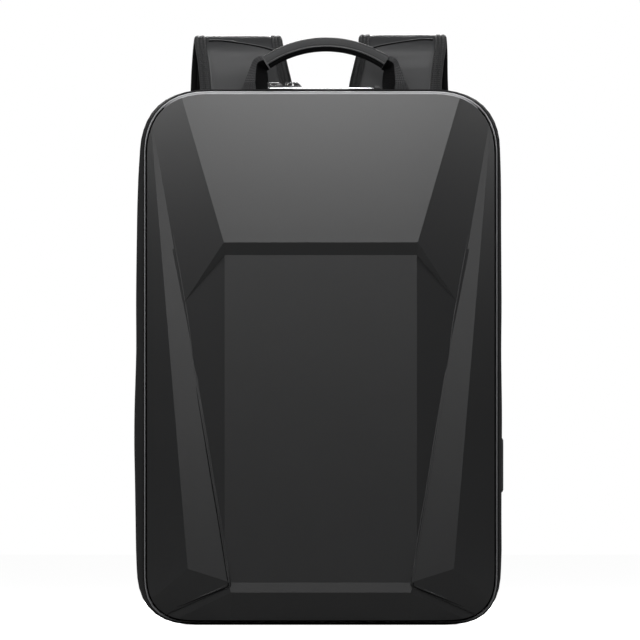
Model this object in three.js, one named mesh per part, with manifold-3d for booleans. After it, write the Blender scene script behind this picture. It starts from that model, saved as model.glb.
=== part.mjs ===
// Hard shell backpack: a faceted moulded front shell zipped to a fabric body,
// with a webbing handle, a metal zip plate and two padded shoulder straps behind.
// Millimetres. X runs across, Y from front to back, Z up from the flat base.

import * as THREE from 'three';
import { mergeVertices } from 'three/addons/utils/BufferGeometryUtils.js';
import Module from 'manifold-3d';

const wasm = await Module();
wasm.setup();

// Body
const bodyHeight = 472;
const bodyWidth = 315;
const bodyDepth = 86;
const sideSwell = 3.6;
const topCornerRadius = 57;
const bottomCornerRadius = 48;
const bodyWall = 2.5;
const backWall = 6;
const backEdgeRound = 2.5;
const cornerSteps = 10;
// One row for each section from front to back. along is a share of the body's depth,
// swell a share of the side swell, inset a share of the back edge's rounding.
const bodySections = [
  { along: 0, swell: 0, inset: 0 },
  { along: 0.16, swell: 0.75, inset: 0 },
  { along: 0.34, swell: 1, inset: 0 },
  { along: 0.66, swell: 1, inset: 0 },
  { along: 0.86, swell: 0.7, inset: 0 },
  { along: 0.97, swell: 0.35, inset: 0.1 },
  { along: 1, swell: 0.2, inset: 1 },
];

// Clearance between pieces that touch on the real thing
const gap = 0.3;
// How far a cutting shape runs past the faces it cuts
const cutClear = 1;

// Zip and rim bead between body and shell
const zipDepth = 8;
const zipInset = 3;
const zipWall = 3;
const beadDepth = 3.4;
const beadInset = 1.5;
const beadWall = 4.5;

// Front shell
const shellInset = 4.5;
const shellDepth = 46;
const shellWall = 3;
// How far an edge wall runs out for each millimetre that it falls back, as a share
const edgeWallShare = 0.25;

// Corners of the left half of the shell's facets. across is a share of half the
// shell's width, up a share of its height, proud a share of its depth.
const shellCorners = {
  panelCrown: { across: 0, up: 0.985, proud: 0.61 },
  panelFoot: { across: 0.557, up: 0.718, proud: 1 },
  recessHead: { across: 0.552, up: 0.694, proud: 0.84 },
  recessFoot: { across: 0.552, up: 0.072, proud: 0.84 },
  skirtHead: { across: 0.517, up: 0.053, proud: 0.881 },
  skirtFoot: { across: 0.517, up: 0, proud: 0.6 },
  skirtEnd: { across: 0.845, up: 0.004, proud: 0.3 },
  bandFoot: { across: 0.534, up: 0.064, proud: 0.84 },
  bandEnd: { across: 0.827, up: 0.024, proud: 0.31 },
  wingHead: { across: 0.96, up: 0.941, proud: 0.28 },
  wingFoot: { across: 0.528, up: 0.07, proud: 0.92 },
  wingHip: { across: 0.765, up: 0.098, proud: 0.8 },
  wingToe: { across: 0.603, up: 0.08, proud: 0.875 },
  cornerHip: { across: 0.95, up: 0.047, proud: 0.33 },
  rimHigh: { across: 1, up: 0.8, proud: 0.2 },
  rimLow: { across: 1, up: 0.2, proud: 0.2 },
};
// Share of the way down the wing's inner edge where the upper panel's corner meets it
const kneeShare = 0.39;
// The recess stops inside the upper and lower blocks at these shares of the height
const recessTopShare = 0.706;
const recessBottomShare = 0.06;
const recessSideCover = 4;
const upperSideShare = 0.39;
// How far the wing stands above the band beneath it
const wingLip = 1.2;
// How far the wing's edge laps over the valley beside it
const wingOverlap = 1;

// Carry handle
const handleSpan = 105;
const handleRise = 16;
const handleTop = 518.5;
const handleY = 8;
const handleSway = 4.6;
const gripHeight = 12.6;
const gripDepth = 22;
const gripChamfer = 4;
const gripSteps = 14;
const legReach = 10.5;
const legSway = 2;
const legWidth = 25;
const legThickness = 2.6;
const legTopWidth = 11.5;
const legTopDepth = 16;
const legSteps = 6;

// Zip plate on top, with its end button and the two parked pullers
const plateLength = 94;
const plateDepth = 18;
const plateHeight = 2;
const plateSetback = 5;
const plateCorner = 3;
const buttonLength = 5.5;
const buttonDepth = 10;
const buttonHeight = 3.4;
const buttonCorner = 1.8;
const pullerLength = 15;
const pullerDepth = 9;
const pullerHeight = 4.4;
const pullerTail = 4.5;
const pullerShoulder = 2.6;
const pullerBar = 1.3;
const pullerSlot = 4.6;

// Rubber cable port on the right side
const portLength = 48;
const portDepth = 22;
const portProud = 2.4;
const portCentre = 140.5;
const portChamfer = 2;
const portSlotLength = 18;
const portSlotDepth = 6;
const portSlotSink = 1.2;

// Padded back
const padThickness = 8;
const padWidth = 106;
const padFoot = 88;
const padHead = 398;
const padChannel = 36;
const padCorner = 24;
const padEdge = 3;

// Shoulder straps
const strapThickness = 9;
const strapReach = 47;
const strapTop = 519;
const strapEdge = 2.5;
// One row for each section. reach is a share of how far the strap loops out behind,
// level a share of its height, across and width shares of the body's width.
const strapSections = [
  { reach: 0, level: 0.812, across: 0.212, width: 0.235 },
  { reach: 0, level: 0.86, across: 0.212, width: 0.25 },
  { reach: 0, level: 0.907, across: 0.212, width: 0.259 },
  { reach: 0.02, level: 0.948, across: 0.221, width: 0.252 },
  { reach: 0.13, level: 0.975, across: 0.228, width: 0.245 },
  { reach: 0.36, level: 0.9912, across: 0.234, width: 0.241 },
  { reach: 0.66, level: 0.9885, across: 0.238, width: 0.242 },
  { reach: 0.88, level: 0.968, across: 0.24, width: 0.246 },
  { reach: 0.99, level: 0.93, across: 0.242, width: 0.25 },
  { reach: 1.03, level: 0.87, across: 0.243, width: 0.251 },
  { reach: 1.05, level: 0.78, across: 0.247, width: 0.245 },
  { reach: 1.04, level: 0.68, across: 0.256, width: 0.23 },
  { reach: 0.98, level: 0.58, across: 0.27, width: 0.212 },
  { reach: 0.88, level: 0.48, across: 0.287, width: 0.195 },
  { reach: 0.77, level: 0.4, across: 0.3, width: 0.18 },
];
const yokeHeight = 26;
const yokeThickness = 2;
const yokeOverhang = 8;

// Strap hardware
const webbingWidth = 25;
const webbingThickness = 1.6;
const buckleBar = 3.6;
const buckleSlot = 6;
const buckleThickness = 3.6;
const buckleSide = 4.5;
const buckleStand = 8;
const tapeGrip = 24;
const tapeMargin = 5;
const turnClear = 0.45;
const tailLength = 70;
// How far above the tab the webbing lifts off the back
const anchorRun = 38;
const turnSteps = 6;
const tabWidth = 40;
const tabHeight = 34;
const tabThickness = 2.4;
const tabFromSide = 29.5;
const tabUp = 38;

const frontY = -bodyDepth / 2;
const backY = bodyDepth / 2;
const zipFrontY = frontY - gap - zipDepth;
const beadFrontY = zipFrontY - gap - beadDepth;
const rimY = beadFrontY - gap;
const tabAcross = bodyWidth / 2 - tabFromSide;

function finish(color, roughness, metalness) {
  return new THREE.MeshStandardMaterial({ color, roughness, metalness });
}

const finishes = {
  shell: finish(0x2c2d2e, 0.5, 0),
  fabric: finish(0x1a1b1c, 0.9, 0),
  binding: finish(0x222324, 0.85, 0),
  bead: finish(0x6a6b6c, 0.4, 0),
  zip: finish(0x0c0c0d, 0.7, 0),
  leather: finish(0x303132, 0.55, 0),
  webbing: finish(0x151516, 0.9, 0),
  plastic: finish(0x141415, 0.45, 0),
  rubber: finish(0x18191a, 0.8, 0),
  metal: finish(0xc9cbcd, 0.25, 1),
};

// Booleans

function weld(geometry) {
  const bare = geometry.index ? geometry.toNonIndexed() : geometry.clone();
  bare.deleteAttribute('normal');
  bare.deleteAttribute('uv');
  return mergeVertices(bare, 1e-4);
}

function toSolid(geometry) {
  const merged = weld(geometry);
  const mesh = new wasm.Mesh({
    numProp: 3,
    vertProperties: new Float32Array(merged.attributes.position.array),
    triVerts: new Uint32Array(merged.index.array),
  });
  return new wasm.Manifold(mesh);
}

function toGeometry(solid) {
  const mesh = solid.getMesh();
  const geometry = new THREE.BufferGeometry();
  geometry.setAttribute('position', new THREE.BufferAttribute(mesh.vertProperties, 3));
  geometry.setIndex(new THREE.BufferAttribute(mesh.triVerts, 1));
  geometry.computeVertexNormals();
  return geometry;
}

function uniteAll(solids) {
  return solids.reduce((all, solid) => all.add(solid));
}

// Turns a geometry's faces outward if they point in
function faceOutward(geometry) {
  const place = geometry.attributes.position;
  const index = geometry.index;
  const a = new THREE.Vector3();
  const b = new THREE.Vector3();
  const c = new THREE.Vector3();
  let volume = 0;
  for (let i = 0; i < index.count; i += 3) {
    a.fromBufferAttribute(place, index.getX(i));
    b.fromBufferAttribute(place, index.getX(i + 1));
    c.fromBufferAttribute(place, index.getX(i + 2));
    volume += a.dot(b.cross(c));
  }
  if (volume < 0) {
    const turned = Array.from(index.array).reverse();
    geometry.setIndex(turned);
  }
  geometry.computeVertexNormals();
  return geometry;
}

// A closed solid through convex rings of equal length, capped at both ends
function loft(rings) {
  const size = rings[0].length;
  const last = (rings.length - 1) * size;
  const places = rings.flat().flatMap((point) => [point.x, point.y, point.z]);
  const faces = [];
  for (let ring = 0; ring < rings.length - 1; ring += 1) {
    for (let i = 0; i < size; i += 1) {
      const here = ring * size + i;
      const next = ring * size + ((i + 1) % size);
      faces.push(here, next, next + size);
      faces.push(here, next + size, here + size);
    }
  }
  for (let i = 1; i < size - 1; i += 1) {
    faces.push(0, i + 1, i);
    faces.push(last, last + i, last + i + 1);
  }
  const geometry = new THREE.BufferGeometry();
  geometry.setAttribute('position', new THREE.Float32BufferAttribute(places, 3));
  geometry.setIndex(faces);
  return faceOutward(geometry);
}

// The body's outline seen from the front, moved in by inset and widened by swell
function outlinePoints(inset, swell = 0) {
  const half = bodyWidth / 2 - inset;
  const top = bodyHeight - inset;
  const widen = (half + swell) / half;
  const upper = topCornerRadius - inset;
  const lower = bottomCornerRadius - inset;
  const corners = [
    { x: half - lower, z: inset + lower, radius: lower, from: -Math.PI / 2 },
    { x: half - upper, z: top - upper, radius: upper, from: 0 },
    { x: upper - half, z: top - upper, radius: upper, from: Math.PI / 2 },
    { x: lower - half, z: inset + lower, radius: lower, from: Math.PI },
  ];
  return corners.flatMap((corner) => {
    const arc = [];
    for (let step = 0; step <= cornerSteps; step += 1) {
      const angle = corner.from + (step / cornerSteps) * (Math.PI / 2);
      const x = corner.x + corner.radius * Math.cos(angle);
      const z = corner.z + corner.radius * Math.sin(angle);
      arc.push(new THREE.Vector2(x * widen, z));
    }
    return arc;
  });
}

function outlineRing(inset, y, swell = 0) {
  return outlinePoints(inset, swell).map((point) => new THREE.Vector3(point.x, y, point.y));
}

// A flat band that follows the outline
function outlineBand(inset, wall, nearY, depth) {
  const farY = nearY + depth;
  const outer = toSolid(loft([outlineRing(inset, nearY), outlineRing(inset, farY)]));
  const inner = toSolid(loft([
    outlineRing(inset + wall, nearY - cutClear),
    outlineRing(inset + wall, farY + cutClear),
  ]));
  return toGeometry(outer.subtract(inner));
}

// Body: a fabric tray open towards the shell

function bodyTray() {
  const outer = loft(bodySections.map((row) => outlineRing(
    row.inset * backEdgeRound,
    frontY + row.along * bodyDepth,
    row.swell * sideSwell,
  )));
  const cavityDepth = bodyDepth - backWall;
  const cavityRings = bodySections.map((row) => outlineRing(
    bodyWall,
    frontY + row.along * cavityDepth,
    row.swell * sideSwell,
  ));
  cavityRings.unshift(outlineRing(bodyWall, frontY - cutClear));
  return toGeometry(toSolid(outer).subtract(toSolid(loft(cavityRings))));
}

// Shell facets

// The place of a named corner; side is -1 for the left half and 1 for the right
function shellCorner(name, side = -1) {
  const corner = shellCorners[name];
  const shellHeight = bodyHeight - 2 * shellInset;
  const halfWidth = bodyWidth / 2 - shellInset;
  return new THREE.Vector3(
    side * corner.across * halfWidth,
    rimY - corner.proud * shellDepth,
    shellInset + corner.up * shellHeight,
  );
}

function wingKnee(side) {
  return shellCorner('wingHead', side).lerp(shellCorner('wingFoot', side), kneeShare);
}

// A plane through three points, its normal towards the front
function facet(a, b, c) {
  const plane = new THREE.Plane().setFromCoplanarPoints(a, b, c);
  return plane.normal.y > 0 ? plane.negate() : plane;
}

// A plane with its normal along a direction, through a point
function wallPlane(direction, point) {
  return new THREE.Plane().setFromNormalAndCoplanarPoint(direction.clone().normalize(), point);
}

// A steep wall that falls from the edge a-b towards a given side
function edgeWall(a, b, towards) {
  const drop = towards.clone().setLength(edgeWallShare);
  drop.y += 1;
  return facet(a, b, a.clone().add(drop));
}

function upright(x, z, point) {
  return wallPlane(new THREE.Vector3(x, 0, z), point);
}

// A convex block behind all of its planes, each moved in by the wall
function block(planes, wall) {
  const reach = 4 * bodyHeight;
  const start = new THREE.BoxGeometry(2 * bodyWidth, 2 * shellDepth + reach, 2 * bodyHeight);
  start.translate(0, rimY, bodyHeight / 2);
  return planes.reduce((solid, plane) => {
    const cutter = new THREE.BoxGeometry(reach, reach, reach);
    const turn = new THREE.Quaternion().setFromUnitVectors(
      new THREE.Vector3(0, 0, 1),
      plane.normal,
    );
    cutter.translate(0, 0, reach / 2 - wall);
    cutter.applyQuaternion(turn);
    const foot = plane.normal.clone().multiplyScalar(-plane.constant);
    cutter.translate(foot.x, foot.y, foot.z);
    return solid.subtract(toSolid(cutter));
  }, toSolid(start));
}

// Slope between the broad side of the upper panel and the wing
function flankPlane(side) {
  return facet(shellCorner('wingHead', side), wingKnee(side), shellCorner('panelFoot', side));
}

function upperBlocks(wall) {
  const leftFoot = shellCorner('panelFoot', -1);
  const rightFoot = shellCorner('panelFoot', 1);
  const crown = facet(leftFoot, rightFoot, shellCorner('panelCrown'));
  const step = facet(leftFoot, rightFoot, shellCorner('recessHead', -1));
  const middle = block([crown, flankPlane(-1), flankPlane(1), step], wall);
  const sides = [-1, 1].map((side) => {
    const foot = shellCorner('panelFoot', side);
    const stepSide = facet(foot, shellCorner('recessHead', side), wingKnee(side));
    const halfWidth = bodyWidth / 2 - shellInset;
    const inner = upright(-side, 0, new THREE.Vector3(side * upperSideShare * halfWidth, 0, 0));
    return block([crown, flankPlane(side), stepSide, inner], wall);
  });
  return [middle, ...sides];
}

function recessBlock(wall) {
  const head = shellCorner('recessHead', -1);
  const panel = facet(head, shellCorner('recessHead', 1), shellCorner('recessFoot', -1));
  const shellHeight = bodyHeight - 2 * shellInset;
  const planes = [
    panel,
    upright(0, 1, new THREE.Vector3(0, 0, shellInset + recessTopShare * shellHeight)),
    upright(0, -1, new THREE.Vector3(0, 0, shellInset + recessBottomShare * shellHeight)),
  ];
  for (const side of [-1, 1]) {
    const headPoint = shellCorner('recessHead', side);
    planes.push(facet(headPoint, shellCorner('recessFoot', side), wingKnee(side)));
    const high = shellCorner('wingHead', side);
    const run = shellCorner('wingFoot', side).sub(high);
    const outward = new THREE.Vector3(-side * run.z, 0, side * run.x).normalize();
    planes.push(wallPlane(outward, high.addScaledVector(outward, recessSideCover)));
  }
  return block(planes, wall);
}

function wingBlock(side, wall) {
  const head = shellCorner('wingHead', side);
  const foot = shellCorner('wingFoot', side);
  const hip = shellCorner('wingHip', side);
  const toe = shellCorner('wingToe', side);
  const cornerHip = shellCorner('cornerHip', side);
  const rimHigh = shellCorner('rimHigh', side);
  const rimLow = shellCorner('rimLow', side);
  const bandFoot = shellCorner('bandFoot', side);
  const bandEnd = shellCorner('bandEnd', side);
  const face = facet(head, foot, hip);
  const flank = facet(rimHigh, rimLow, hip);
  const lower = facet(hip, toe, cornerHip);
  const inward = new THREE.Vector3(-side * wingOverlap, 0, 0);
  const inner = edgeWall(head.clone().add(inward), foot.clone().add(inward), inward);
  const lift = new THREE.Vector3(0, -wingLip, 0);
  const under = edgeWall(bandFoot.add(lift), bandEnd.add(lift), new THREE.Vector3(0, 0, -1));
  return block([face, flank, lower, inner, under], wall);
}

function skirtBlock(wall) {
  const leftHead = shellCorner('skirtHead', -1);
  const rightHead = shellCorner('skirtHead', 1);
  const planes = [
    facet(leftHead, rightHead, shellCorner('skirtFoot')),
    facet(leftHead, rightHead, shellCorner('recessFoot')),
  ];
  for (const side of [-1, 1]) {
    const head = shellCorner('skirtHead', side);
    planes.push(facet(head, shellCorner('skirtFoot', side), shellCorner('skirtEnd', side)));
    planes.push(facet(head, shellCorner('bandFoot', side), shellCorner('bandEnd', side)));
  }
  return block(planes, wall);
}

function facetedSolid(wall) {
  const outline = toSolid(loft([
    outlineRing(shellInset + wall, rimY + wall),
    outlineRing(shellInset + wall, rimY - 2 * shellDepth),
  ]));
  const blocks = [
    ...upperBlocks(wall),
    recessBlock(wall),
    wingBlock(-1, wall),
    wingBlock(1, wall),
    skirtBlock(wall),
  ];
  return outline.intersect(uniteAll(blocks));
}

function frontShell() {
  return toGeometry(facetedSolid(0).subtract(facetedSolid(shellWall)));
}

// Sweeps

// The largest share of a half width or depth that a cut edge takes
const edgeShare = 0.9;

// Section corners of a bar with cut edges, as pairs across and deep
function barSection(width, depth, edge) {
  const w = width / 2;
  const d = depth / 2;
  const e = Math.min(edge, w * edgeShare, d * edgeShare);
  return [
    [-w + e, -d], [w - e, -d], [w, -d + e], [w, d - e],
    [w - e, d], [-w + e, d], [-w, d - e], [-w, -d + e],
  ];
}

// Loft of bar sections along stations with a centre, two axes and a size
function sweepBar(stations) {
  return loft(stations.map((station) => {
    const section = barSection(station.width, station.depth, station.edge);
    return section.map(([across, deep]) => station.centre.clone()
      .addScaledVector(station.acrossAxis, across)
      .addScaledVector(station.deepAxis, deep));
  }));
}

// Handle: an arched grip held by two folded webbing legs

function gripPoint(angle, radius) {
  const height = handleTop - gripHeight / 2 - radius;
  return new THREE.Vector3(
    handleSway + radius * Math.sin(angle),
    handleY,
    height + radius * Math.cos(angle),
  );
}

const gripRadius = ((handleSpan / 2) ** 2 + handleRise ** 2) / (2 * handleRise);
const gripHalfAngle = Math.asin(handleSpan / 2 / gripRadius);

function handleGrip() {
  const stations = [];
  for (let step = 0; step <= gripSteps; step += 1) {
    const angle = gripHalfAngle * (2 * (step / gripSteps) - 1);
    stations.push({
      centre: gripPoint(angle, gripRadius),
      acrossAxis: new THREE.Vector3(Math.sin(angle), 0, Math.cos(angle)),
      deepAxis: new THREE.Vector3(0, 1, 0),
      width: gripHeight,
      depth: gripDepth,
      edge: gripChamfer,
    });
  }
  return sweepBar(stations);
}

function handleLeg(side) {
  const endAngle = side * gripHalfAngle;
  const along = new THREE.Vector3(Math.cos(endAngle), 0, -Math.sin(endAngle));
  const top = gripPoint(endAngle, gripRadius).addScaledVector(along, side * gap);
  const baseX = legSway + side * (handleSpan / 2 + legReach);
  const base = new THREE.Vector3(baseX, handleY, bodyHeight + gap);
  const bend = top.clone().addScaledVector(along, (baseX - top.x) / along.x);
  const path = new THREE.QuadraticBezierCurve3(base, bend, top);
  const stations = [];
  for (let step = 0; step <= legSteps; step += 1) {
    const share = step / legSteps;
    const tangent = path.getTangent(share);
    stations.push({
      centre: path.getPoint(share),
      acrossAxis: new THREE.Vector3(tangent.z, 0, -tangent.x),
      deepAxis: new THREE.Vector3(0, 1, 0),
      width: THREE.MathUtils.lerp(legWidth, legTopWidth, share),
      depth: THREE.MathUtils.lerp(legThickness, legTopDepth, share * share),
      edge: legThickness / 4,
    });
  }
  return sweepBar(stations);
}

// Zip plate, button and pullers

// An outline in X and Y pulled up by height
function slab(shape, height, bottom) {
  const geometry = new THREE.ExtrudeGeometry(shape, { depth: height, bevelEnabled: false });
  geometry.translate(0, 0, bottom);
  return toGeometry(toSolid(geometry));
}

function roundedRect(width, height, radius) {
  const w = width / 2;
  const h = height / 2;
  const shape = new THREE.Shape();
  shape.moveTo(-w + radius, -h);
  shape.lineTo(w - radius, -h);
  shape.absarc(w - radius, -h + radius, radius, -Math.PI / 2, 0);
  shape.absarc(w - radius, h - radius, radius, 0, Math.PI / 2);
  shape.absarc(-w + radius, h - radius, radius, Math.PI / 2, Math.PI);
  shape.absarc(-w + radius, -h + radius, radius, Math.PI, 1.5 * Math.PI);
  return shape;
}

const plateY = frontY + plateSetback + plateDepth / 2;
const plateBottom = bodyHeight + gap;
const plateTop = plateBottom + plateHeight;

function zipPlate() {
  const shape = roundedRect(plateLength, plateDepth, plateCorner);
  const geometry = slab(shape, plateHeight, plateBottom);
  geometry.translate(0, plateY, 0);
  return geometry;
}

function plateButton() {
  const shape = roundedRect(buttonLength, buttonDepth, buttonCorner);
  const geometry = slab(shape, buttonHeight, plateBottom);
  geometry.translate(plateLength / 2 + gap + buttonLength / 2, plateY, 0);
  return geometry;
}

// A slider seen from the front: a low arch with a tail, open through the middle
function zipPuller(slot) {
  const shape = new THREE.Shape();
  shape.moveTo(0, 0);
  shape.lineTo(pullerLength, 0);
  shape.lineTo(pullerLength - pullerTail / 2, pullerShoulder);
  shape.lineTo(pullerLength - pullerTail, pullerHeight);
  shape.lineTo(0, pullerHeight);
  const opening = new THREE.Path();
  const left = pullerBar * 2;
  opening.moveTo(left, pullerBar);
  opening.lineTo(left, pullerHeight - pullerBar);
  opening.lineTo(left + pullerSlot, pullerHeight - pullerBar);
  opening.lineTo(left + pullerSlot, pullerBar);
  shape.holes.push(opening);
  const geometry = new THREE.ExtrudeGeometry(shape, { depth: pullerDepth, bevelEnabled: false });
  geometry.rotateX(Math.PI / 2);
  const start = -plateLength / 2 + gap + slot * (pullerLength + gap);
  geometry.translate(start, plateY + pullerDepth / 2, plateTop + gap);
  return toGeometry(toSolid(geometry));
}

// Cable port

function cablePort() {
  const face = bodyWidth / 2 + sideSwell + gap;
  const w = portDepth / 2;
  const h = portLength / 2;
  const rings = [
    { out: 0, cut: 0 },
    { out: portProud - portChamfer / 2, cut: 0 },
    { out: portProud, cut: portChamfer },
  ].map(({ out, cut }) => {
    const section = barSection(2 * (w - cut), 2 * (h - cut), portChamfer * 2);
    return section.map(([y, z]) => new THREE.Vector3(face + out, y, portCentre + z));
  });
  const slot = new THREE.BoxGeometry(2 * portSlotSink, portSlotDepth, portSlotLength);
  slot.translate(face + portProud, 0, portCentre);
  return toGeometry(toSolid(loft(rings)).subtract(toSolid(slot)));
}

// Back pads

function backPad(side) {
  const shape = roundedRect(padWidth, padHead - padFoot, padCorner);
  const geometry = new THREE.ExtrudeGeometry(shape, {
    depth: padThickness - 2 * padEdge,
    bevelThickness: padEdge,
    bevelSize: padEdge,
    bevelOffset: -padEdge,
    bevelSegments: 2,
    curveSegments: 5,
  });
  geometry.rotateX(Math.PI / 2);
  const centre = (side * (padChannel + padWidth)) / 2;
  geometry.translate(centre, backY + gap + padThickness - padEdge, (padFoot + padHead) / 2);
  return toGeometry(toSolid(geometry));
}

// Shoulder straps

const strapRootY = backY + gap + strapThickness / 2;

function strapCentre(row, side) {
  return new THREE.Vector3(
    side * row.across * bodyWidth,
    strapRootY + row.reach * strapReach,
    row.level * strapTop,
  );
}

// Where the strap pad ends, and the frame of the straight run from there to the tab
function lowerRun(side) {
  const start = strapCentre(strapSections[strapSections.length - 1], side);
  const endY = backY + gap + tabThickness + gap + webbingThickness;
  const end = new THREE.Vector3(side * tabAcross, endY, tabUp);
  const down = end.clone().sub(start);
  const length = down.length();
  down.normalize();
  const acrossAxis = new THREE.Vector3(1, 0, 0);
  acrossAxis.addScaledVector(down, -acrossAxis.dot(down)).normalize();
  const outward = new THREE.Vector3().crossVectors(acrossAxis, down);
  if (outward.y < 0) {
    outward.negate();
  }
  return { start, length, down, acrossAxis, outward };
}

// The strap's last stretch is straight along the lower run, so that the tape lies on it
function shoulderStrap(side) {
  const run = lowerRun(side);
  const centres = strapSections.map((row) => strapCentre(row, side));
  const endWidth = strapSections[strapSections.length - 1].width * bodyWidth;
  const straight = run.start.clone().addScaledVector(run.down, -tapeGrip - tapeMargin);
  centres.splice(centres.length - 1, 1, straight);
  const stations = centres.map((centre, index) => {
    const tangent = index === 0 ? new THREE.Vector3(0, 0, 1) : new THREE.Vector3();
    if (index > 0) {
      const after = centres[Math.min(index + 1, centres.length - 1)];
      tangent.subVectors(after, centres[index - 1]);
    }
    return {
      centre,
      acrossAxis: new THREE.Vector3(1, 0, 0),
      deepAxis: new THREE.Vector3(0, tangent.z, -tangent.y).normalize(),
      width: strapSections[index].width * bodyWidth,
      depth: strapThickness,
      edge: strapEdge,
    };
  });
  const lower = {
    acrossAxis: run.acrossAxis,
    deepAxis: run.outward.clone().negate(),
    width: endWidth,
    depth: strapThickness,
    edge: strapEdge,
  };
  stations[stations.length - 1] = { ...lower, centre: straight };
  stations.push({ ...lower, centre: run.start });
  return sweepBar(stations);
}

// The fabric band that covers both strap roots
function strapYoke() {
  const root = strapSections[0];
  const halfWidth = (root.across + root.width / 2) * bodyWidth + yokeOverhang;
  const geometry = new THREE.BoxGeometry(2 * halfWidth, yokeThickness, yokeHeight);
  const bottom = root.level * strapTop;
  const y = backY + gap + strapThickness + gap + yokeThickness / 2;
  geometry.translate(0, y, bottom + yokeHeight / 2);
  return toGeometry(toSolid(geometry));
}

// A flat band through points given along and out of the lower run
function runBand(side, points) {
  const run = lowerRun(side);
  const places = points.map(([along, out]) => run.start.clone()
    .addScaledVector(run.down, along)
    .addScaledVector(run.outward, out));
  return sweepBar(places.map((centre, index) => {
    const before = places[Math.max(index - 1, 0)];
    const after = places[Math.min(index + 1, places.length - 1)];
    const tangent = after.clone().sub(before).normalize();
    return {
      centre,
      acrossAxis: run.acrossAxis,
      deepAxis: new THREE.Vector3().crossVectors(tangent, run.acrossAxis).normalize(),
      width: webbingWidth,
      depth: webbingThickness,
      edge: webbingThickness / 4,
    };
  }));
}

// Half a turn round a bar, as points along and out; sense 1 goes round its lower side
function halfTurn(middle, radius, sense) {
  const points = [];
  for (let step = 0; step <= turnSteps; step += 1) {
    const angle = Math.PI * (step / turnSteps);
    points.push([middle + sense * radius * Math.sin(angle), -radius * Math.cos(angle)]);
  }
  return points;
}

const turnRadius = Math.hypot(buckleThickness, buckleBar) / 2 + turnClear + webbingThickness / 2;
const tapeOut = strapThickness / 2 + gap + webbingThickness / 2;
const buckleLength = 3 * buckleBar + 2 * buckleSlot;
const lastBar = buckleStand + 2 * (buckleBar + buckleSlot) + buckleBar / 2;

// A folded tape that holds the buckle's top bar to the strap's end
function buckleTape(side) {
  const turn = halfTurn(buckleStand + buckleBar / 2, turnRadius, 1);
  return runBand(side, [
    [-tapeGrip, -tapeOut],
    [gap, -tapeOut],
    ...turn,
    [gap, tapeOut],
    [-tapeGrip, tapeOut],
  ]);
}

function buckle(side) {
  const run = lowerRun(side);
  const width = webbingWidth + 2 * (buckleSide + gap);
  const shape = new THREE.Shape();
  const half = width / 2;
  const cut = buckleSide / 2;
  shape.moveTo(-half + cut, 0);
  shape.lineTo(half - cut, 0);
  shape.lineTo(half, cut);
  shape.lineTo(half, buckleLength - cut);
  shape.lineTo(half - cut, buckleLength);
  shape.lineTo(-half + cut, buckleLength);
  shape.lineTo(-half, buckleLength - cut);
  shape.lineTo(-half, cut);
  const slotHalf = webbingWidth / 2 + gap;
  for (const row of [0, 1]) {
    const top = buckleBar + row * (buckleBar + buckleSlot);
    const slot = new THREE.Path();
    slot.moveTo(-slotHalf, top);
    slot.lineTo(-slotHalf, top + buckleSlot);
    slot.lineTo(slotHalf, top + buckleSlot);
    slot.lineTo(slotHalf, top);
    shape.holes.push(slot);
  }
  const geometry = new THREE.ExtrudeGeometry(shape, {
    depth: buckleThickness,
    bevelEnabled: false,
  });
  geometry.translate(0, buckleStand, -buckleThickness / 2);
  const frame = new THREE.Matrix4().makeBasis(run.acrossAxis, run.down, run.outward);
  geometry.applyMatrix4(frame);
  geometry.translate(run.start.x, run.start.y, run.start.z);
  return toGeometry(toSolid(faceOutward(weld(geometry))));
}

// Webbing from the tab up behind the buckle, round its last bar and down as a tail
function lowerWebbing(side) {
  const { length } = lowerRun(side);
  const turn = halfTurn(lastBar, turnRadius, -1);
  return runBand(side, [
    [length, 0],
    [length - anchorRun, -turnRadius / 2],
    [lastBar + buckleSlot, -turnRadius],
    ...turn,
    [lastBar + tailLength / 2, turnRadius],
    [lastBar + tailLength, turnRadius],
  ]);
}

// A flat fabric tab on the back that holds the end of the webbing
function anchorTab(side) {
  const shape = new THREE.Shape();
  const wide = tabWidth / 2;
  const narrow = webbingWidth / 2;
  shape.moveTo(-narrow, tabHeight / 2);
  shape.lineTo(-wide, -tabHeight / 2);
  shape.lineTo(wide, -tabHeight / 2);
  shape.lineTo(narrow, tabHeight / 2);
  const geometry = new THREE.ExtrudeGeometry(shape, { depth: tabThickness, bevelEnabled: false });
  geometry.rotateX(Math.PI / 2);
  geometry.translate(side * tabAcross, backY + gap + tabThickness, tabUp);
  return toGeometry(toSolid(geometry));
}

const group = new THREE.Group();

function addPiece(name, geometry, material) {
  const mesh = new THREE.Mesh(geometry, material.clone());
  mesh.name = name;
  group.add(mesh);
}

addPiece('front_shell', frontShell(), finishes.shell);
addPiece('rim_bead', outlineBand(beadInset, beadWall, beadFrontY, beadDepth), finishes.bead);
addPiece('main_zip', outlineBand(zipInset, zipWall, zipFrontY, zipDepth), finishes.zip);
addPiece('main_body', bodyTray(), finishes.fabric);
addPiece('handle_grip', handleGrip(), finishes.leather);
addPiece('zip_plate', zipPlate(), finishes.metal);
addPiece('plate_button', plateButton(), finishes.plastic);
addPiece('zip_puller_first', zipPuller(0), finishes.metal);
addPiece('zip_puller_second', zipPuller(1), finishes.metal);
addPiece('cable_port', cablePort(), finishes.rubber);
addPiece('strap_yoke', strapYoke(), finishes.binding);

for (const [label, side] of [['left', -1], ['right', 1]]) {
  addPiece(`handle_leg_${label}`, handleLeg(side), finishes.webbing);
  addPiece(`back_pad_${label}`, backPad(side), finishes.fabric);
  addPiece(`shoulder_strap_${label}`, shoulderStrap(side), finishes.fabric);
  addPiece(`buckle_tape_${label}`, buckleTape(side), finishes.webbing);
  addPiece(`buckle_${label}`, buckle(side), finishes.plastic);
  addPiece(`lower_webbing_${label}`, lowerWebbing(side), finishes.webbing);
  addPiece(`anchor_tab_${label}`, anchorTab(side), finishes.binding);
}

export default group;
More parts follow.
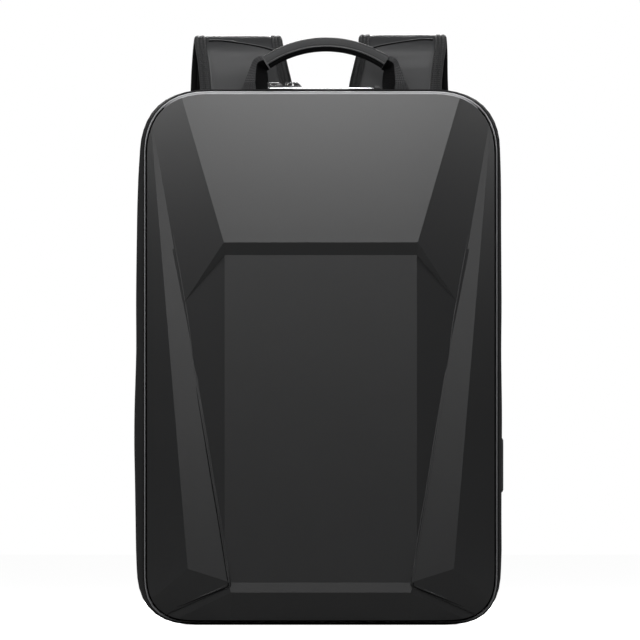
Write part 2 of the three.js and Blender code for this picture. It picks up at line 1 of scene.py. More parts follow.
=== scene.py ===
import math

import bpy
from mathutils import Matrix, Vector, noise


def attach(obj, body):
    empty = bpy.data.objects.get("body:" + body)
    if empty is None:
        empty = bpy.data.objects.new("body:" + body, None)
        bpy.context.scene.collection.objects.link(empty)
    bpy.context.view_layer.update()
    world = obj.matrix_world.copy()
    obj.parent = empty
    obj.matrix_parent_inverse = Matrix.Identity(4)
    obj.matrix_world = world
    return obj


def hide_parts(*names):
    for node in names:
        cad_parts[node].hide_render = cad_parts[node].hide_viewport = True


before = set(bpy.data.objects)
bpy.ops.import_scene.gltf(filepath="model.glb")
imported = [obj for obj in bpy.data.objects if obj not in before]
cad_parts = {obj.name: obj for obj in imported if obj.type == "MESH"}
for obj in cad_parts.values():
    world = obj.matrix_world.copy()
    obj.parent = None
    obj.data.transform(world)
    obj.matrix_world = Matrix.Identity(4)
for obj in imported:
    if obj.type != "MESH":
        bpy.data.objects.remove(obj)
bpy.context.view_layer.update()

print("frame loaded:", len(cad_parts), "nodes")


# helpers that every piece uses

def deselectAll():
    if bpy.context.object and bpy.context.object.mode != "OBJECT":
        bpy.ops.object.mode_set(mode="OBJECT")
    bpy.ops.object.select_all(action="DESELECT")


def makeActive(obj):
    deselectAll()
    obj.select_set(True)
    bpy.context.view_layer.objects.active = obj


def editMode(selectMode="FACE", action="DESELECT"):
    bpy.ops.object.mode_set(mode="EDIT")
    bpy.ops.mesh.select_mode(type=selectMode)
    bpy.ops.mesh.select_all(action=action)


def objectMode():
    bpy.ops.object.mode_set(mode="OBJECT")


def pickFaces(obj, test):    # test(centre, normal) says which faces are selected
    objectMode()
    for face in obj.data.polygons:
        face.select = test(face.center, face.normal)
    bpy.ops.object.mode_set(mode="EDIT")


def copyOfNode(node, name):    # a CAD node's mesh as one merged skin, in an object of its own
    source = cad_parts[node]
    obj = bpy.data.objects.new(name, source.data.copy())
    obj.data.name = name
    obj.data.materials.clear()
    bpy.context.scene.collection.objects.link(obj)
    makeActive(obj)
    editMode(action="SELECT")
    bpy.ops.mesh.remove_doubles(threshold=0.00001)
    bpy.ops.mesh.dissolve_limited(angle_limit=math.radians(0.4))
    objectMode()
    bpy.ops.object.shade_flat()
    return obj


def addModifier(obj, kind, **values):
    mod = obj.modifiers.new(kind.title(), kind)
    for key, value in values.items():
        setattr(mod, key, value)
    return mod


def applyModifiers(obj):
    makeActive(obj)
    for mod in list(obj.modifiers):
        bpy.ops.object.modifier_apply(modifier=mod.name)


def smoothAt(obj, degrees):
    makeActive(obj)
    bpy.ops.object.shade_smooth_by_angle(angle=math.radians(degrees))


def bevelEdges(obj, width, steps, degrees, hard=True):
    addModifier(
        obj, "BEVEL", width=width, segments=steps, limit_method="ANGLE",
        angle_limit=math.radians(degrees), use_clamp_overlap=True, harden_normals=hard,
    )
    applyModifiers(obj)


def subdivideOnce(obj):
    addModifier(obj, "SUBSURF", levels=1, render_levels=1)
    applyModifiers(obj)


def wrapGrid(name, rings, caps=True, loop=False):    # a grid laid round a row of rings
    around = len(rings[0])
    along = len(rings) - 1
    deselectAll()
    bpy.ops.mesh.primitive_grid_add(x_subdivisions=around, y_subdivisions=along, size=1)
    obj = bpy.context.object
    obj.name = name
    obj.data.name = name
    for vert in obj.data.vertices:
        column = round((vert.co.x + 0.5) * around) % around
        row = round((vert.co.y + 0.5) * along)
        vert.co = rings[row][column]
    middle = rings[len(rings) // 2]
    across = [0.0]
    for i in range(around):
        across.append(across[-1] + (Vector(middle[(i + 1) % around]) - Vector(middle[i])).length)
    length = [0.0]
    for j in range(along):
        here = sum((Vector(p) for p in rings[j]), Vector()) / around
        after = sum((Vector(p) for p in rings[j + 1]), Vector()) / around
        step = (after - here).length
        if step < 1e-5:    # rings round one middle are measured along their own first side
            step = (Vector(rings[j + 1][0]) - Vector(rings[j][0])).length
        length.append(length[-1] + step)
    for loopUv in obj.data.uv_layers.active.data:
        u, v = loopUv.uv
        loopUv.uv = (across[round(u * around)], length[round(v * along)])
    editMode(action="SELECT")
    bpy.ops.mesh.remove_doubles(threshold=0.000002)
    if caps and not loop:
        bpy.ops.mesh.select_all(action="DESELECT")
        bpy.ops.mesh.select_mode(type="EDGE")
        bpy.ops.mesh.select_non_manifold()
        bpy.ops.mesh.fill_holes(sides=0)
        bpy.ops.mesh.select_all(action="SELECT")
    bpy.ops.mesh.normals_make_consistent(inside=False)
    objectMode()
    bpy.ops.object.shade_smooth()
    return obj


def smoothBetween(values, i, t):    # a smooth curve through four neighbours
    last = len(values) - 1
    a, b, c, d = (values[max(0, min(last, i + k))] for k in (-1, 0, 1, 2))
    turn = (a * 2 - b * 5 + c * 4 - d) * t * t / 2 + (b * 3 - a - c * 3 + d) * t ** 3 / 2
    return b + (c - a) * t / 2 + turn


def smoothPath(points, perSpan):
    path = [
        smoothBetween(points, i, step / perSpan)
        for i in range(len(points) - 1) for step in range(perSpan)
    ]
    return path + [points[-1]]


def runAt(path, n, loop=False):    # the direction of a path at one of its points
    before = n - 1 if loop else max(n - 1, 0)
    after = (n + 1) % len(path) if loop else min(n + 1, len(path) - 1)
    return (path[after] - path[before]).normalized()


def tubeAlong(name, path, sides, loop=False, square=False):    # path: rows of place and radius
    places = [place for place, radius in path]
    rings = []
    for n, (place, radius) in enumerate(path):
        run = runAt(places, n, loop)
        side = run.cross(Vector((0, 1, 0))).normalized()
        deep = run.cross(side) if square else Vector((0, 1, 0))
        turns = [2 * math.pi * k / sides for k in range(sides)]
        rings.append([
            place + (side * math.cos(turn) + deep * math.sin(turn)) * radius for turn in turns
        ])
    if loop:
        rings.append(rings[0])
    return wrapGrid(name, rings, loop=loop)


def boxUv(obj):    # UV in metres for a copied piece
    makeActive(obj)
    editMode(action="SELECT")
    bpy.ops.uv.cube_project(cube_size=1.0)
    objectMode()


def mergeInto(name, parts):    # several meshes become one piece
    deselectAll()
    for part in parts:
        part.select_set(True)
    bpy.context.view_layer.objects.active = parts[0]
    bpy.ops.object.join()
    parts[0].name = name
    parts[0].data.name = name
    return parts[0]


def placeCopies(source, name, places):    # one mesh copied to each matrix, then joined
    copies = []
    for place in places:
        twin = bpy.data.objects.new(name, source.data.copy())
        bpy.context.scene.collection.objects.link(twin)
        twin.data.transform(place)
        copies.append(twin)
    bpy.data.objects.remove(source)
    return mergeInto(name, copies)


def wear(obj, *materials):
    for material in materials:
        obj.data.materials.append(material)


def finishPiece(obj, material, slotName, *nodes):
    if not obj.data.materials or obj.data.materials[0] != material:
        obj.data.materials.clear()
        obj.data.materials.append(material)
    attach(obj, "root")
    if nodes:
        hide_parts(*nodes)
    return obj


# camera and stage

shot = {
    "distance": 20.0,
    "heightOfView": 0.2687,
    "sideOfView": -0.0007,
    "frameWidth": 0.5638,    # what the picture spans at the shell's rim
    "rimY": -0.055,
    "sensor": 36.0,
}

camData = bpy.data.cameras.new("camera")
camData.sensor_width = shot["sensor"]
camData.lens = shot["sensor"] * shot["distance"] / shot["frameWidth"]
camData.clip_end = 3 * shot["distance"]
camera = bpy.data.objects.new("camera", camData)
camera.location = (shot["sideOfView"], shot["rimY"] - shot["distance"], shot["heightOfView"])
camera.rotation_euler = (math.radians(90), 0, 0)
bpy.context.scene.collection.objects.link(camera)
bpy.context.scene.camera = camera
bpy.context.scene.view_settings.view_transform = "Standard"

lights = {
    "front": {"at": (0, -0.86, 0.81), "size": (0.4, 0.22), "power": 2.9},
    "left": {"at": (-0.76, -0.4, 0.68), "size": (0.3, 0.3), "power": 5.2},
    "right": {"at": (0.8, -0.3, 0.68), "size": (0.3, 0.3), "power": 4.1},
    "lowLeft": {"at": (-0.5, -1.4, 0.55), "size": (0.5, 0.3), "power": 1.4},
    "lowRight": {"at": (0.5, -1.4, 0.55), "size": (0.5, 0.3), "power": 1.15},
    "middle": {"at": (0, -1.7, 0.52), "size": (0.9, 0.35), "power": 1.45},
    "high": {"at": (0, -0.8, 1.35), "size": (0.8, 0.3), "power": 6.6},
    "back": {"at": (0, 1.5, 0.8), "size": (0.45, 0.9), "power": 34},
}
aim = Vector((0, 0, 0.3))
for name, row in lights.items():
    data = bpy.data.lights.new(name + "Light", "AREA")
    data.shape = "RECTANGLE"
    data.size, data.size_y = row["size"]
    data.energy = row["power"]
    lamp = bpy.data.objects.new(name + "Light", data)
    lamp.location = row["at"]
    lamp.rotation_euler = (aim - lamp.location).to_track_quat("-Z", "Y").to_euler()
    bpy.context.scene.collection.objects.link(lamp)

studio = {"fill": 0.08, "backdrop": 1.0, "floorSize": 12, "floorZ": -0.0006}
world = bpy.data.worlds.new("studio")
bpy.context.scene.world = world
world.use_nodes = True
worldTree = world.node_tree
fillLight = worldTree.nodes["Background"]
fillLight.inputs["Color"].default_value = (1, 1, 1, 1)
fillLight.inputs["Strength"].default_value = studio["fill"]
backdrop = worldTree.nodes.new("ShaderNodeBackground")
backdrop.inputs["Color"].default_value = (1, 1, 1, 1)
backdrop.inputs["Strength"].default_value = studio["backdrop"]
rayKind = worldTree.nodes.new("ShaderNodeLightPath")
seenOrLit = worldTree.nodes.new("ShaderNodeMixShader")
worldTree.links.new(rayKind.outputs["Is Camera Ray"], seenOrLit.inputs["Fac"])
worldTree.links.new(fillLight.outputs[0], seenOrLit.inputs[1])
worldTree.links.new(backdrop.outputs[0], seenOrLit.inputs[2])
worldTree.links.new(seenOrLit.outputs[0], worldTree.nodes["World Output"].inputs["Surface"])

floorLook = bpy.data.materials.new("floorPaper")
floorLook.use_nodes = True
floorShader = floorLook.node_tree.nodes["Principled BSDF"]
floorShader.inputs["Base Color"].default_value = (0.9, 0.9, 0.9, 1)
floorShader.inputs["Roughness"].default_value = 0.9
floorShader.inputs["Specular IOR Level"].default_value = 0
floorShader.inputs["Emission Color"].default_value = (1, 1, 1, 1)
floorShader.inputs["Emission Strength"].default_value = 0.9
floorTree = floorLook.node_tree    # the paper looks white but throws little light back
floorDull = floorTree.nodes.new("ShaderNodeBsdfDiffuse")
floorDull.inputs["Color"].default_value = (0.3, 0.3, 0.3, 1)
floorRay = floorTree.nodes.new("ShaderNodeLightPath")
floorMix = floorTree.nodes.new("ShaderNodeMixShader")
floorTree.links.new(floorRay.outputs["Is Camera Ray"], floorMix.inputs["Fac"])
floorTree.links.new(floorDull.outputs[0], floorMix.inputs[1])
floorTree.links.new(floorShader.outputs[0], floorMix.inputs[2])
floorTree.links.new(floorMix.outputs[0], floorTree.nodes["Material Output"].inputs["Surface"])

deselectAll()
bpy.ops.mesh.primitive_plane_add(size=studio["floorSize"], location=(0, 0, studio["floorZ"]))
floor = bpy.context.object
floor.name = "floor"
floor.data.materials.append(floorLook)

print("camera and stage ready")

# materials: shared effects are groups with named sockets


def newGroup(name, inputs, outputs):
    group = bpy.data.node_groups.new(name, "ShaderNodeTree")
    for label, kind, value in inputs:
        socket = group.interface.new_socket(name=label, in_out="INPUT", socket_type=kind)
        if value is not None:
            socket.default_value = value
    for label, kind in outputs:
        group.interface.new_socket(name=label, in_out="OUTPUT", socket_type=kind)
    start = group.nodes.new("NodeGroupInput")
    end = group.nodes.new("NodeGroupOutput")
    return group, start, end


def addNode(tree, kind, group=None, **inputs):    # each input is a link or a value
    made = tree.nodes.new(kind)
    if group:
        made.node_tree = group
    for key, value in inputs.items():
        if isinstance(value, bpy.types.NodeSocket):
            tree.links.new(value, made.inputs[key])
        else:
            made.inputs[key].default_value = value
    return made


def groupNode(tree, group, **inputs):
    return addNode(tree, "ShaderNodeGroup", group, **inputs)


def mathNode(tree, operation, first, second=None):
    made = tree.nodes.new("ShaderNodeMath")
    made.operation = operation
    for socket, value in zip(made.inputs, (first, second)):
        if isinstance(value, bpy.types.NodeSocket):
            tree.links.new(value, socket)
        elif value is not None:
            socket.default_value = value
    return made.outputs[0]


def makeGrain():    # the fine tooth of a moulded or coated surface
    group, start, end = newGroup(
        "fineGrain",
        [("Vector", "NodeSocketVector", None), ("Size", "NodeSocketFloat", 0.001)],
        [("Height", "NodeSocketFloat"), ("Cloud", "NodeSocketFloat")],
    )
    scale = mathNode(group, "DIVIDE", 1.0, start.outputs["Size"])
    place = start.outputs["Vector"]
    fine = addNode(group, "ShaderNodeTexNoise", Vector=place, Scale=scale, Detail=3)
    cloud = addNode(group, "ShaderNodeTexNoise", Vector=place, Scale=14.0, Detail=4)
    group.links.new(fine.outputs[0], end.inputs["Height"])
    group.links.new(cloud.outputs[0], end.inputs["Cloud"])
    return group


def makeWeave():    # threads over and under, from two distances in metres
    group, start, end = newGroup(
        "weave",
        [
            ("Across", "NodeSocketFloat", 0.0), ("Along", "NodeSocketFloat", 0.0),
            ("Pitch", "NodeSocketFloat", 0.0008), ("Slant", "NodeSocketFloat", 0.0),
        ],
        [("Height", "NodeSocketFloat")],
    )
    turn = mathNode(group, "DIVIDE", math.pi, start.outputs["Pitch"])
    lean = mathNode(group, "MULTIPLY", start.outputs["Along"], start.outputs["Slant"])
    leaned = mathNode(group, "ADD", start.outputs["Across"], lean)
    across = mathNode(group, "SINE", mathNode(group, "MULTIPLY", leaned, turn))
    along = mathNode(group, "SINE", mathNode(group, "MULTIPLY", start.outputs["Along"], turn))
    both = mathNode(group, "MULTIPLY", across, along)
    lifted = mathNode(group, "MULTIPLY_ADD", both, 0.5)
    lifted.node.inputs[2].default_value = 0.5
    group.links.new(lifted, end.inputs["Height"])
    return group


def makeRibs():    # rounded ribs at an even pitch
    group, start, end = newGroup(
        "ribs",
        [("Distance", "NodeSocketFloat", 0.0), ("Pitch", "NodeSocketFloat", 0.0015)],
        [("Height", "NodeSocketFloat")],
    )
    turn = mathNode(group, "DIVIDE", math.pi, start.outputs["Pitch"])
    wave = mathNode(group, "SINE", mathNode(group, "MULTIPLY", start.outputs["Distance"], turn))
    group.links.new(mathNode(group, "ABSOLUTE", wave), end.inputs["Height"])
    return group


grainGroup = makeGrain()
weaveGroup = makeWeave()
ribGroup = makeRibs()


def startLook(name, row):    # a material with its shader set from one row of values
    look = bpy.data.materials.new(name)
    look.use_nodes = True
    tree = look.node_tree
    shader = tree.nodes["Principled BSDF"]
    shader.inputs["Base Color"].default_value = (*row["colour"], 1)
    shader.inputs["Roughness"].default_value = row["rough"]
    shader.inputs["Metallic"].default_value = row.get("metal", 0.0)
    shader.inputs["Specular IOR Level"].default_value = row.get("gloss", 0.5)
    shader.inputs["Sheen Weight"].default_value = row.get("sheen", 0.0)
    shader.inputs["Sheen Roughness"].default_value = row.get("sheenRough", 0.4)
    return look, tree, shader


def tintBy(tree, shader, mask, dark, light):    # base colour runs from dark to light with a mask
    mix = tree.nodes.new("ShaderNodeMix")
    mix.data_type = "RGBA"
    tree.links.new(mask, mix.inputs["Factor"])
    mix.inputs[6].default_value = (*dark, 1)
    mix.inputs[7].default_value = (*light, 1)
    tree.links.new(mix.outputs[2], shader.inputs["Base Color"])


def spread(tree, value, low, high):    # 0..1 becomes low..high
    made = tree.nodes.new("ShaderNodeMapRange")
    tree.links.new(value, made.inputs["Value"])
    made.inputs["To Min"].default_value = low
    made.inputs["To Max"].default_value = high
    return made.outputs["Result"]


def bumpBy(tree, shader, height, depth, under=None):
    made = tree.nodes.new("ShaderNodeBump")
    made.inputs["Distance"].default_value = depth
    tree.links.new(height, made.inputs["Height"])
    if under:
        tree.links.new(under, made.inputs["Normal"])
    tree.links.new(made.outputs["Normal"], shader.inputs["Normal"])
    return made.outputs["Normal"]


def shade(colour, factor):
    return tuple(min(1.0, part * factor) for part in colour)


def grainyLook(name, row):    # moulded film, rubber, leather and plastic
    look, tree, shader = startLook(name, row)
    place = tree.nodes.new("ShaderNodeTexCoord").outputs["Object"]
    grain = groupNode(tree, grainGroup, Vector=place, Size=row["grain"])
    colour, rough, vary = row["colour"], row["rough"], row["vary"]
    tintBy(tree, shader, grain.outputs["Cloud"], shade(colour, 0.88), shade(colour, 1.12))
    varied = spread(tree, grain.outputs["Height"], rough - vary, rough + vary)
    tree.links.new(varied, shader.inputs["Roughness"])
    bumpBy(tree, shader, grain.outputs["Height"], row["depth"])
    return look


def wovenLook(name, row, fromUv=False):    # cloth: weave, then a soft tone over it
    look, tree, shader = startLook(name, row)
    coords = tree.nodes.new("ShaderNodeTexCoord")
    split = tree.nodes.new("ShaderNodeSeparateXYZ")
    if fromUv:
        tree.links.new(coords.outputs["UV"], split.inputs[0])
        across, along = split.outputs[0], split.outputs[1]
    else:    # the weave follows whichever side of the body is seen
        tree.links.new(coords.outputs["Object"], split.inputs[0])
        across = mathNode(tree, "ADD", split.outputs[0], split.outputs[1])
        along = split.outputs[2]
    slant = row.get("slant", 0.0)
    weave = groupNode(tree, weaveGroup, Across=across, Along=along, Pitch=row["pitch"], Slant=slant)
    grain = groupNode(tree, grainGroup, Vector=coords.outputs["Object"], Size=row["grain"])
    tone = mathNode(tree, "MULTIPLY", weave.outputs["Height"], grain.outputs["Cloud"])
    tintBy(tree, shader, tone, shade(row["colour"], 0.7), shade(row["colour"], 1.6))
    under = bumpBy(tree, shader, grain.outputs["Height"], row["depth"] * 0.4)
    bumpBy(tree, shader, weave.outputs["Height"], row["depth"], under)
    return look


def ribbedLook(name, row, axis=1):    # webbing and binding: ribs across, fine threads along
    look, tree, shader = startLook(name, row)
    coords = tree.nodes.new("ShaderNodeTexCoord")
    split = tree.nodes.new("ShaderNodeSeparateXYZ")
    tree.links.new(coords.outputs["UV"], split.inputs[0])
    ribs = groupNode(tree, ribGroup, Distance=split.outputs[axis], Pitch=row["pitch"])
    threads = groupNode(tree, ribGroup, Distance=split.outputs[1 - axis], Pitch=row["threads"])
    grain = groupNode(tree, grainGroup, Vector=coords.outputs["Object"], Size=row["grain"])
    both = mathNode(tree, "MULTIPLY", ribs.outputs["Height"], threads.outputs["Height"])
    tone = mathNode(tree, "MULTIPLY", both, grain.outputs["Cloud"])
    tintBy(tree, shader, tone, shade(row["colour"], 0.55), shade(row["colour"], 2.0))
    under = bumpBy(tree, shader, grain.outputs["Height"], row["depth"] * 0.3)
    bumpBy(tree, shader, both, row["depth"], under)
    return look


def paintTopHighlight(look, row):    # painted highlight: a second, lighter colour towards the top, by height in metres
    tree = look.node_tree
    shader = tree.nodes["Principled BSDF"]
    split = tree.nodes.new("ShaderNodeSeparateXYZ")
    tree.links.new(tree.nodes.new("ShaderNodeTexCoord").outputs["Object"], split.inputs[0])
    rise = tree.nodes.new("ShaderNodeMapRange")
    tree.links.new(split.outputs[2], rise.inputs["Value"])
    rise.inputs["From Min"].default_value = row["highlightFrom"]
    rise.inputs["From Max"].default_value = row["highlightTo"]
    mix = tree.nodes.new("ShaderNodeMix")
    mix.data_type = "RGBA"
    tree.links.new(rise.outputs["Result"], mix.inputs["Factor"])
    tree.links.new(shader.inputs["Base Color"].links[0].from_socket, mix.inputs[6])
    mix.inputs[7].default_value = (*row["highlightColour"], 1)
    tree.links.new(mix.outputs[2], shader.inputs["Base Color"])


looks = {
    "film": {
        "colour": (0.009, 0.0091, 0.0094), "rough": 0.32, "vary": 0.04,
        "grain": 0.0007, "depth": 0.00004,
    },
    # the bead's light grey is a painted highlight for the light along its crest; towards the top a
    # lighter colour adds more painted highlight
    "bead": {
        "colour": (0.16, 0.16, 0.165), "rough": 0.35, "vary": 0.04,
        "grain": 0.002, "depth": 0.00003, "highlightColour": (0.42, 0.42, 0.43), "highlightFrom": 0.452,
        "highlightTo": 0.466,
    },
    "body": {
        "colour": (0.0085, 0.0086, 0.009), "rough": 0.85, "gloss": 0.2, "pitch": 0.0009,
        "grain": 0.0012, "depth": 0.00012,
    },
    "zip": {
        "colour": (0.004, 0.004, 0.0043), "rough": 0.8, "gloss": 0.2,
        "pitch": 0.0016, "threads": 0.0006, "grain": 0.001, "depth": 0.0003,
    },
    "leather": {
        "colour": (0.024, 0.0243, 0.025), "rough": 0.66, "gloss": 0.35, "vary": 0.08,
        "grain": 0.0011, "depth": 0.00012,
    },
    "webbing": {
        "colour": (0.022, 0.022, 0.0235), "rough": 0.7, "pitch": 0.0019, "threads": 0.0011,
        "grain": 0.0009, "depth": 0.0003, "sheen": 0.1,
    },
    "binding": {
        "colour": (0.014, 0.0143, 0.015), "rough": 0.7, "gloss": 0.35,
        "pitch": 0.0017, "threads": 0.0035, "grain": 0.0009, "depth": 0.0005, "sheen": 0.1,
    },
    "strap": {
        "colour": (0.0175, 0.0179, 0.019), "rough": 0.52, "pitch": 0.0007,
        "grain": 0.001, "depth": 0.00006, "sheen": 0.12,
    },
    "chrome": {
        "colour": (0.78, 0.79, 0.8), "rough": 0.16, "vary": 0.05,
        "grain": 0.0009, "depth": 0.00001, "metal": 1.0,
    },
    "enamel": {
        "colour": (0.01, 0.01, 0.0105), "rough": 0.28, "vary": 0.05,
        "grain": 0.001, "depth": 0.00002,
    },
    "plastic": {
        "colour": (0.014, 0.014, 0.0145), "rough": 0.42, "vary": 0.06,
        "grain": 0.0009, "depth": 0.00005,
    },
    # lighter than the other black parts: partly the rubber's own tone, partly a painted highlight
    # for the light its edges catch
    "rubber": {
        "colour": (0.03, 0.03, 0.0315), "rough": 0.55, "vary": 0.08,
        "grain": 0.0012, "depth": 0.00008,
    },
    "mesh": {
        "colour": (0.014, 0.0143, 0.0155), "rough": 0.85, "pitch": 0.0026, "slant": 1.0,
        "grain": 0.0012, "depth": 0.0007, "sheen": 0.15,
    },
    "band": {
        "colour": (0.009, 0.0091, 0.0094), "rough": 0.36, "gloss": 0.36, "vary": 0.04,
        "grain": 0.0007, "depth": 0.00004,
    },
    # plain black: painted shade beside the bead, in the moulded grooves, under the grip, in the
    # handle legs' folds, along the strap seams and inside the strap loops, where the straps' own
    # dark backing also shows
    "shadeAndLining": {
        "colour": (0.002, 0.002, 0.0022), "rough": 0.9, "gloss": 0.1, "pitch": 0.0012,
        "grain": 0.0012, "depth": 0.0002,
    },
    # on the shell this colour, lighter than the film, is a painted highlight along the lips; on the
    # grip's lower edge it is only a slightly darker, glossier edge
    "lip": {
        "colour": (0.02, 0.0202, 0.0207), "rough": 0.35, "vary": 0.04,
        "grain": 0.0007, "depth": 0.00004,
    },
    # lighter than the strap: a painted highlight along the edge of the strap's sewn fold
    "fold": {
        "colour": (0.045, 0.0455, 0.047), "rough": 0.5, "vary": 0.05,
        "grain": 0.001, "depth": 0.00005,
    },
    "thread": {
        "colour": (0.004, 0.004, 0.0045), "rough": 0.6, "vary": 0.05,
        "grain": 0.0006, "depth": 0.0001,
    },
}

shellLook = grainyLook("shellFilm", looks["film"])
beadHighlightLook = grainyLook("rimBead", looks["bead"])
paintTopHighlight(beadHighlightLook, looks["bead"])
bodyLook = wovenLook("bodyCloth", looks["body"])
zipLook = ribbedLook("zipTape", looks["zip"])
leatherLook = grainyLook("gripLeather", looks["leather"])
webbingLook = ribbedLook("webbing", looks["webbing"])
bindingLook = ribbedLook("edgeBinding", looks["binding"])
strapLook = wovenLook("strapCloth", looks["strap"], fromUv=True)
chromeLook = grainyLook("brightMetal", looks["chrome"])
enamelLook = grainyLook("blackEnamel", looks["enamel"])
plasticLook = grainyLook("blackPlastic", looks["plastic"])
rubberLook = grainyLook("portRubber", looks["rubber"])
meshLook = wovenLook("padMesh", looks["mesh"])
threadLook = grainyLook("sewingThread", looks["thread"])
shadeAndLiningLook = wovenLook("blackShadeAndLining", looks["shadeAndLining"])
lipLook = grainyLook("shellLip", looks["lip"])
foldHighlightLook = grainyLook("foldedEdgeHighlight", looks["fold"])
bandLook = grainyLook("shellBand", looks["band"])

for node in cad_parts.values():
    node.data.materials.clear()
    node.data.materials.append(bodyLook)

print("materials ready")

# the body's outline, which shell, bead, zip and cloth body share

bodyFacts = {
    "width": 0.315,
    "height": 0.472,
    "topRadius": 0.057,
    "bottomRadius": 0.048,
    "frontY": -0.043,
    "backY": 0.043,
    "swell": 0.0036,
    "wall": 0.0025,
    "pointsRound": 176,
}

cornerFacts = {    # how much squarer the rim's corners are, and the cloth's share of it
    "top": 0.0028,
    "low": 0.0052,
    "bodyShare": 0.6,
}


def pushCorner(spot, share=1.0):
    high = spot.z > bodyFacts["height"] / 2
    radius = bodyFacts["topRadius" if high else "bottomRadius"]
    across = abs(spot.x) - bodyFacts["width"] / 2 + radius
    up = spot.z - bodyFacts["height"] + radius if high else radius - spot.z
    if across > 0 and up > 0:
        far = math.hypot(across, up)
        push = share * cornerFacts["top" if high else "low"]
        push *= (2 * across * up / far ** 2) ** 2 * min(1.0, far / radius) ** 3
        spot.x += math.copysign(push * across / far, spot.x)
        spot.z += push * up / far * (1 if high else -1)


def outlineSpots(count):    # points and outward directions at even steps round the outline
    half = bodyFacts["width"] / 2
    top, low = bodyFacts["topRadius"], bodyFacts["bottomRadius"]
    height = bodyFacts["height"]
    corners = [
        (half - low, low, low, -90), (half - top, height - top, top, 0),
        (top - half, height - top, top, 90), (low - half, low, low, 180),
    ]
    track = []
    for x, z, radius, start in corners:
        for step in range(33):
            angle = math.radians(start + 90 * step / 32)
            way = Vector((math.cos(angle), 0, math.sin(angle)))
            track.append((Vector((x, 0, z)) + way * radius, way))
    track.append(track[0])
    spans = [(b[0] - a[0]).length for a, b in zip(track, track[1:])]
    total = sum(spans)
    spots, walked, i = [], 0.0, 0
    for n in range(count):
        goal = total * n / count
        while walked + spans[i] < goal:
            walked += spans[i]
            i += 1
        share = (goal - walked) / spans[i] if spans[i] > 0 else 0
        spot = track[i][0].lerp(track[i + 1][0], share)
        way = track[i][1].lerp(track[i + 1][1], share).normalized()
        spots.append((spot, way))
    return spots


def outlineRing(inset, y, swell=0.0, share=1.0):
    half = bodyFacts["width"] / 2
    ring = []
    for spot, way in outlineSpots(bodyFacts["pointsRound"]):
        place = spot - way * inset
        pushCorner(place, share)
        place.x *= (half + swell) / half
        place.y = y
        ring.append(place)
    return ring


def ringsOf(facts):    # one ring for each row of inset and depth, in mm
    front = facts["frontY"]
    return [outlineRing(inset / 1000, front + deep / 1000) for inset, deep in facts["rows"]]


# front shell

shellFacts = {
    "foldWidth": 0.0018,
    "foldSteps": 3,
    "foldAngle": 5,
    "shadeFrom": 0.1515,    # painted shade: down the sides the shell's edge lies in the shade of the bead and is coloured black
    "shadeBelow": 0.43,
    "shadeFacing": 0.35,
    "band": (0.028, 0.041, 0.083),    # from, to and how far to each side
}


def makeShell():
    shell = copyOfNode("front_shell", "frontShell")
    for vert in shell.data.vertices:
        pushCorner(vert.co)
    bevelEdges(shell, shellFacts["foldWidth"], shellFacts["foldSteps"], shellFacts["foldAngle"])
    shell.data.materials.clear()
    wear(shell, shellLook, shadeAndLiningLook, bandLook)
    low, high, reach = shellFacts["band"]
    for face in shell.data.polygons:
        spot, facing = face.center, face.normal
        outer = abs(spot.x) > shellFacts["shadeFrom"] and spot.z < shellFacts["shadeBelow"]
        # painted shade: these side faces get the plain black material
        if outer and abs(facing.x) > shellFacts["shadeFacing"]:
            face.material_index = 1
        elif low < spot.z < high and abs(spot.x) < reach and facing.y < -0.3:
            face.material_index = 2    # the band under the raised field is duller
    return shell


shell = finishPiece(makeShell(), shellLook, "shell_film", "front_shell")

# fine moulded lines: a raised lip and a groove beside each wing, and a groove to each lower corner;
# the lips are coloured lighter than the film as painted highlight, the grooves black as painted
# shade

lineFacts = {    # places on the left side and the line's radius there, in mm: x, z, radius
    "lip": [
        (-129.7, 343.6, 0.1), (-127.5, 330.4, 0.4), (-124.3, 312.8, 0.5), (-120.5, 290.7, 0.5),
        (-116.5, 266.9, 0.5), (-114.1, 248.4, 0.45),
        (-112.4, 233.5, 0.45), (-108.6, 215.8, 0.6), (-105.9, 198.2, 0.7),
        (-101.3, 171.8, 0.75), (-97.0, 145.4, 0.75), (-92.7, 118.9, 0.75), (-88.1, 92.5, 0.75),
        (-83.9, 66.1, 0.7), (-81.3, 48.5, 0.55), (-80.0, 40.5, 0.3),
    ],
    "groove": [
        (-109.7, 211.0, 0.1), (-107.9, 198.2, 0.35), (-103.5, 171.8, 0.45), (-99.2, 145.4, 0.6),
        (-94.8, 118.9, 0.65), (-90.3, 92.5, 0.65), (-86.1, 66.1, 0.6), (-83.4, 48.5, 0.5),
        (-81.6, 38.0, 0.5),
    ],
    "corner": [
        (-81.6, 37.6, 0.6), (-82.3, 34.2, 0.65), (-93.7, 29.1, 0.6), (-110.3, 22.5, 0.5),
        (-120.6, 18.3, 0.3), (-127.5, 15.9, 0.1),
    ],
    "cornerLipHighlight": [
        (-84.0, 35.0, 0.2), (-93.4, 30.4, 0.45), (-104.0, 26.2, 0.4), (-112.0, 23.0, 0.1),
    ],
    "sides": 8,
    "perSpan": 6,
    "least": 0.00005,
}


def mouldedLine(name, kind, side, thin, sink):    # a thin round line laid on the shell's face
    rows = [Vector((x * -side, z, radius)) for x, z, radius in lineFacts[kind]]
    path = []
    for x, z, radius in smoothPath(rows, lineFacts["perSpan"])[:-1]:
        start = Vector((x, -300, z)) / 1000
        found, place, normal, index = shell.ray_cast(start, Vector((0, 1, 0)))
        if found:
            radius = radius / 1000
            path.append((place - normal * sink * radius, max(radius * thin, lineFacts["least"])))
    return tubeAlong(name, path, lineFacts["sides"])


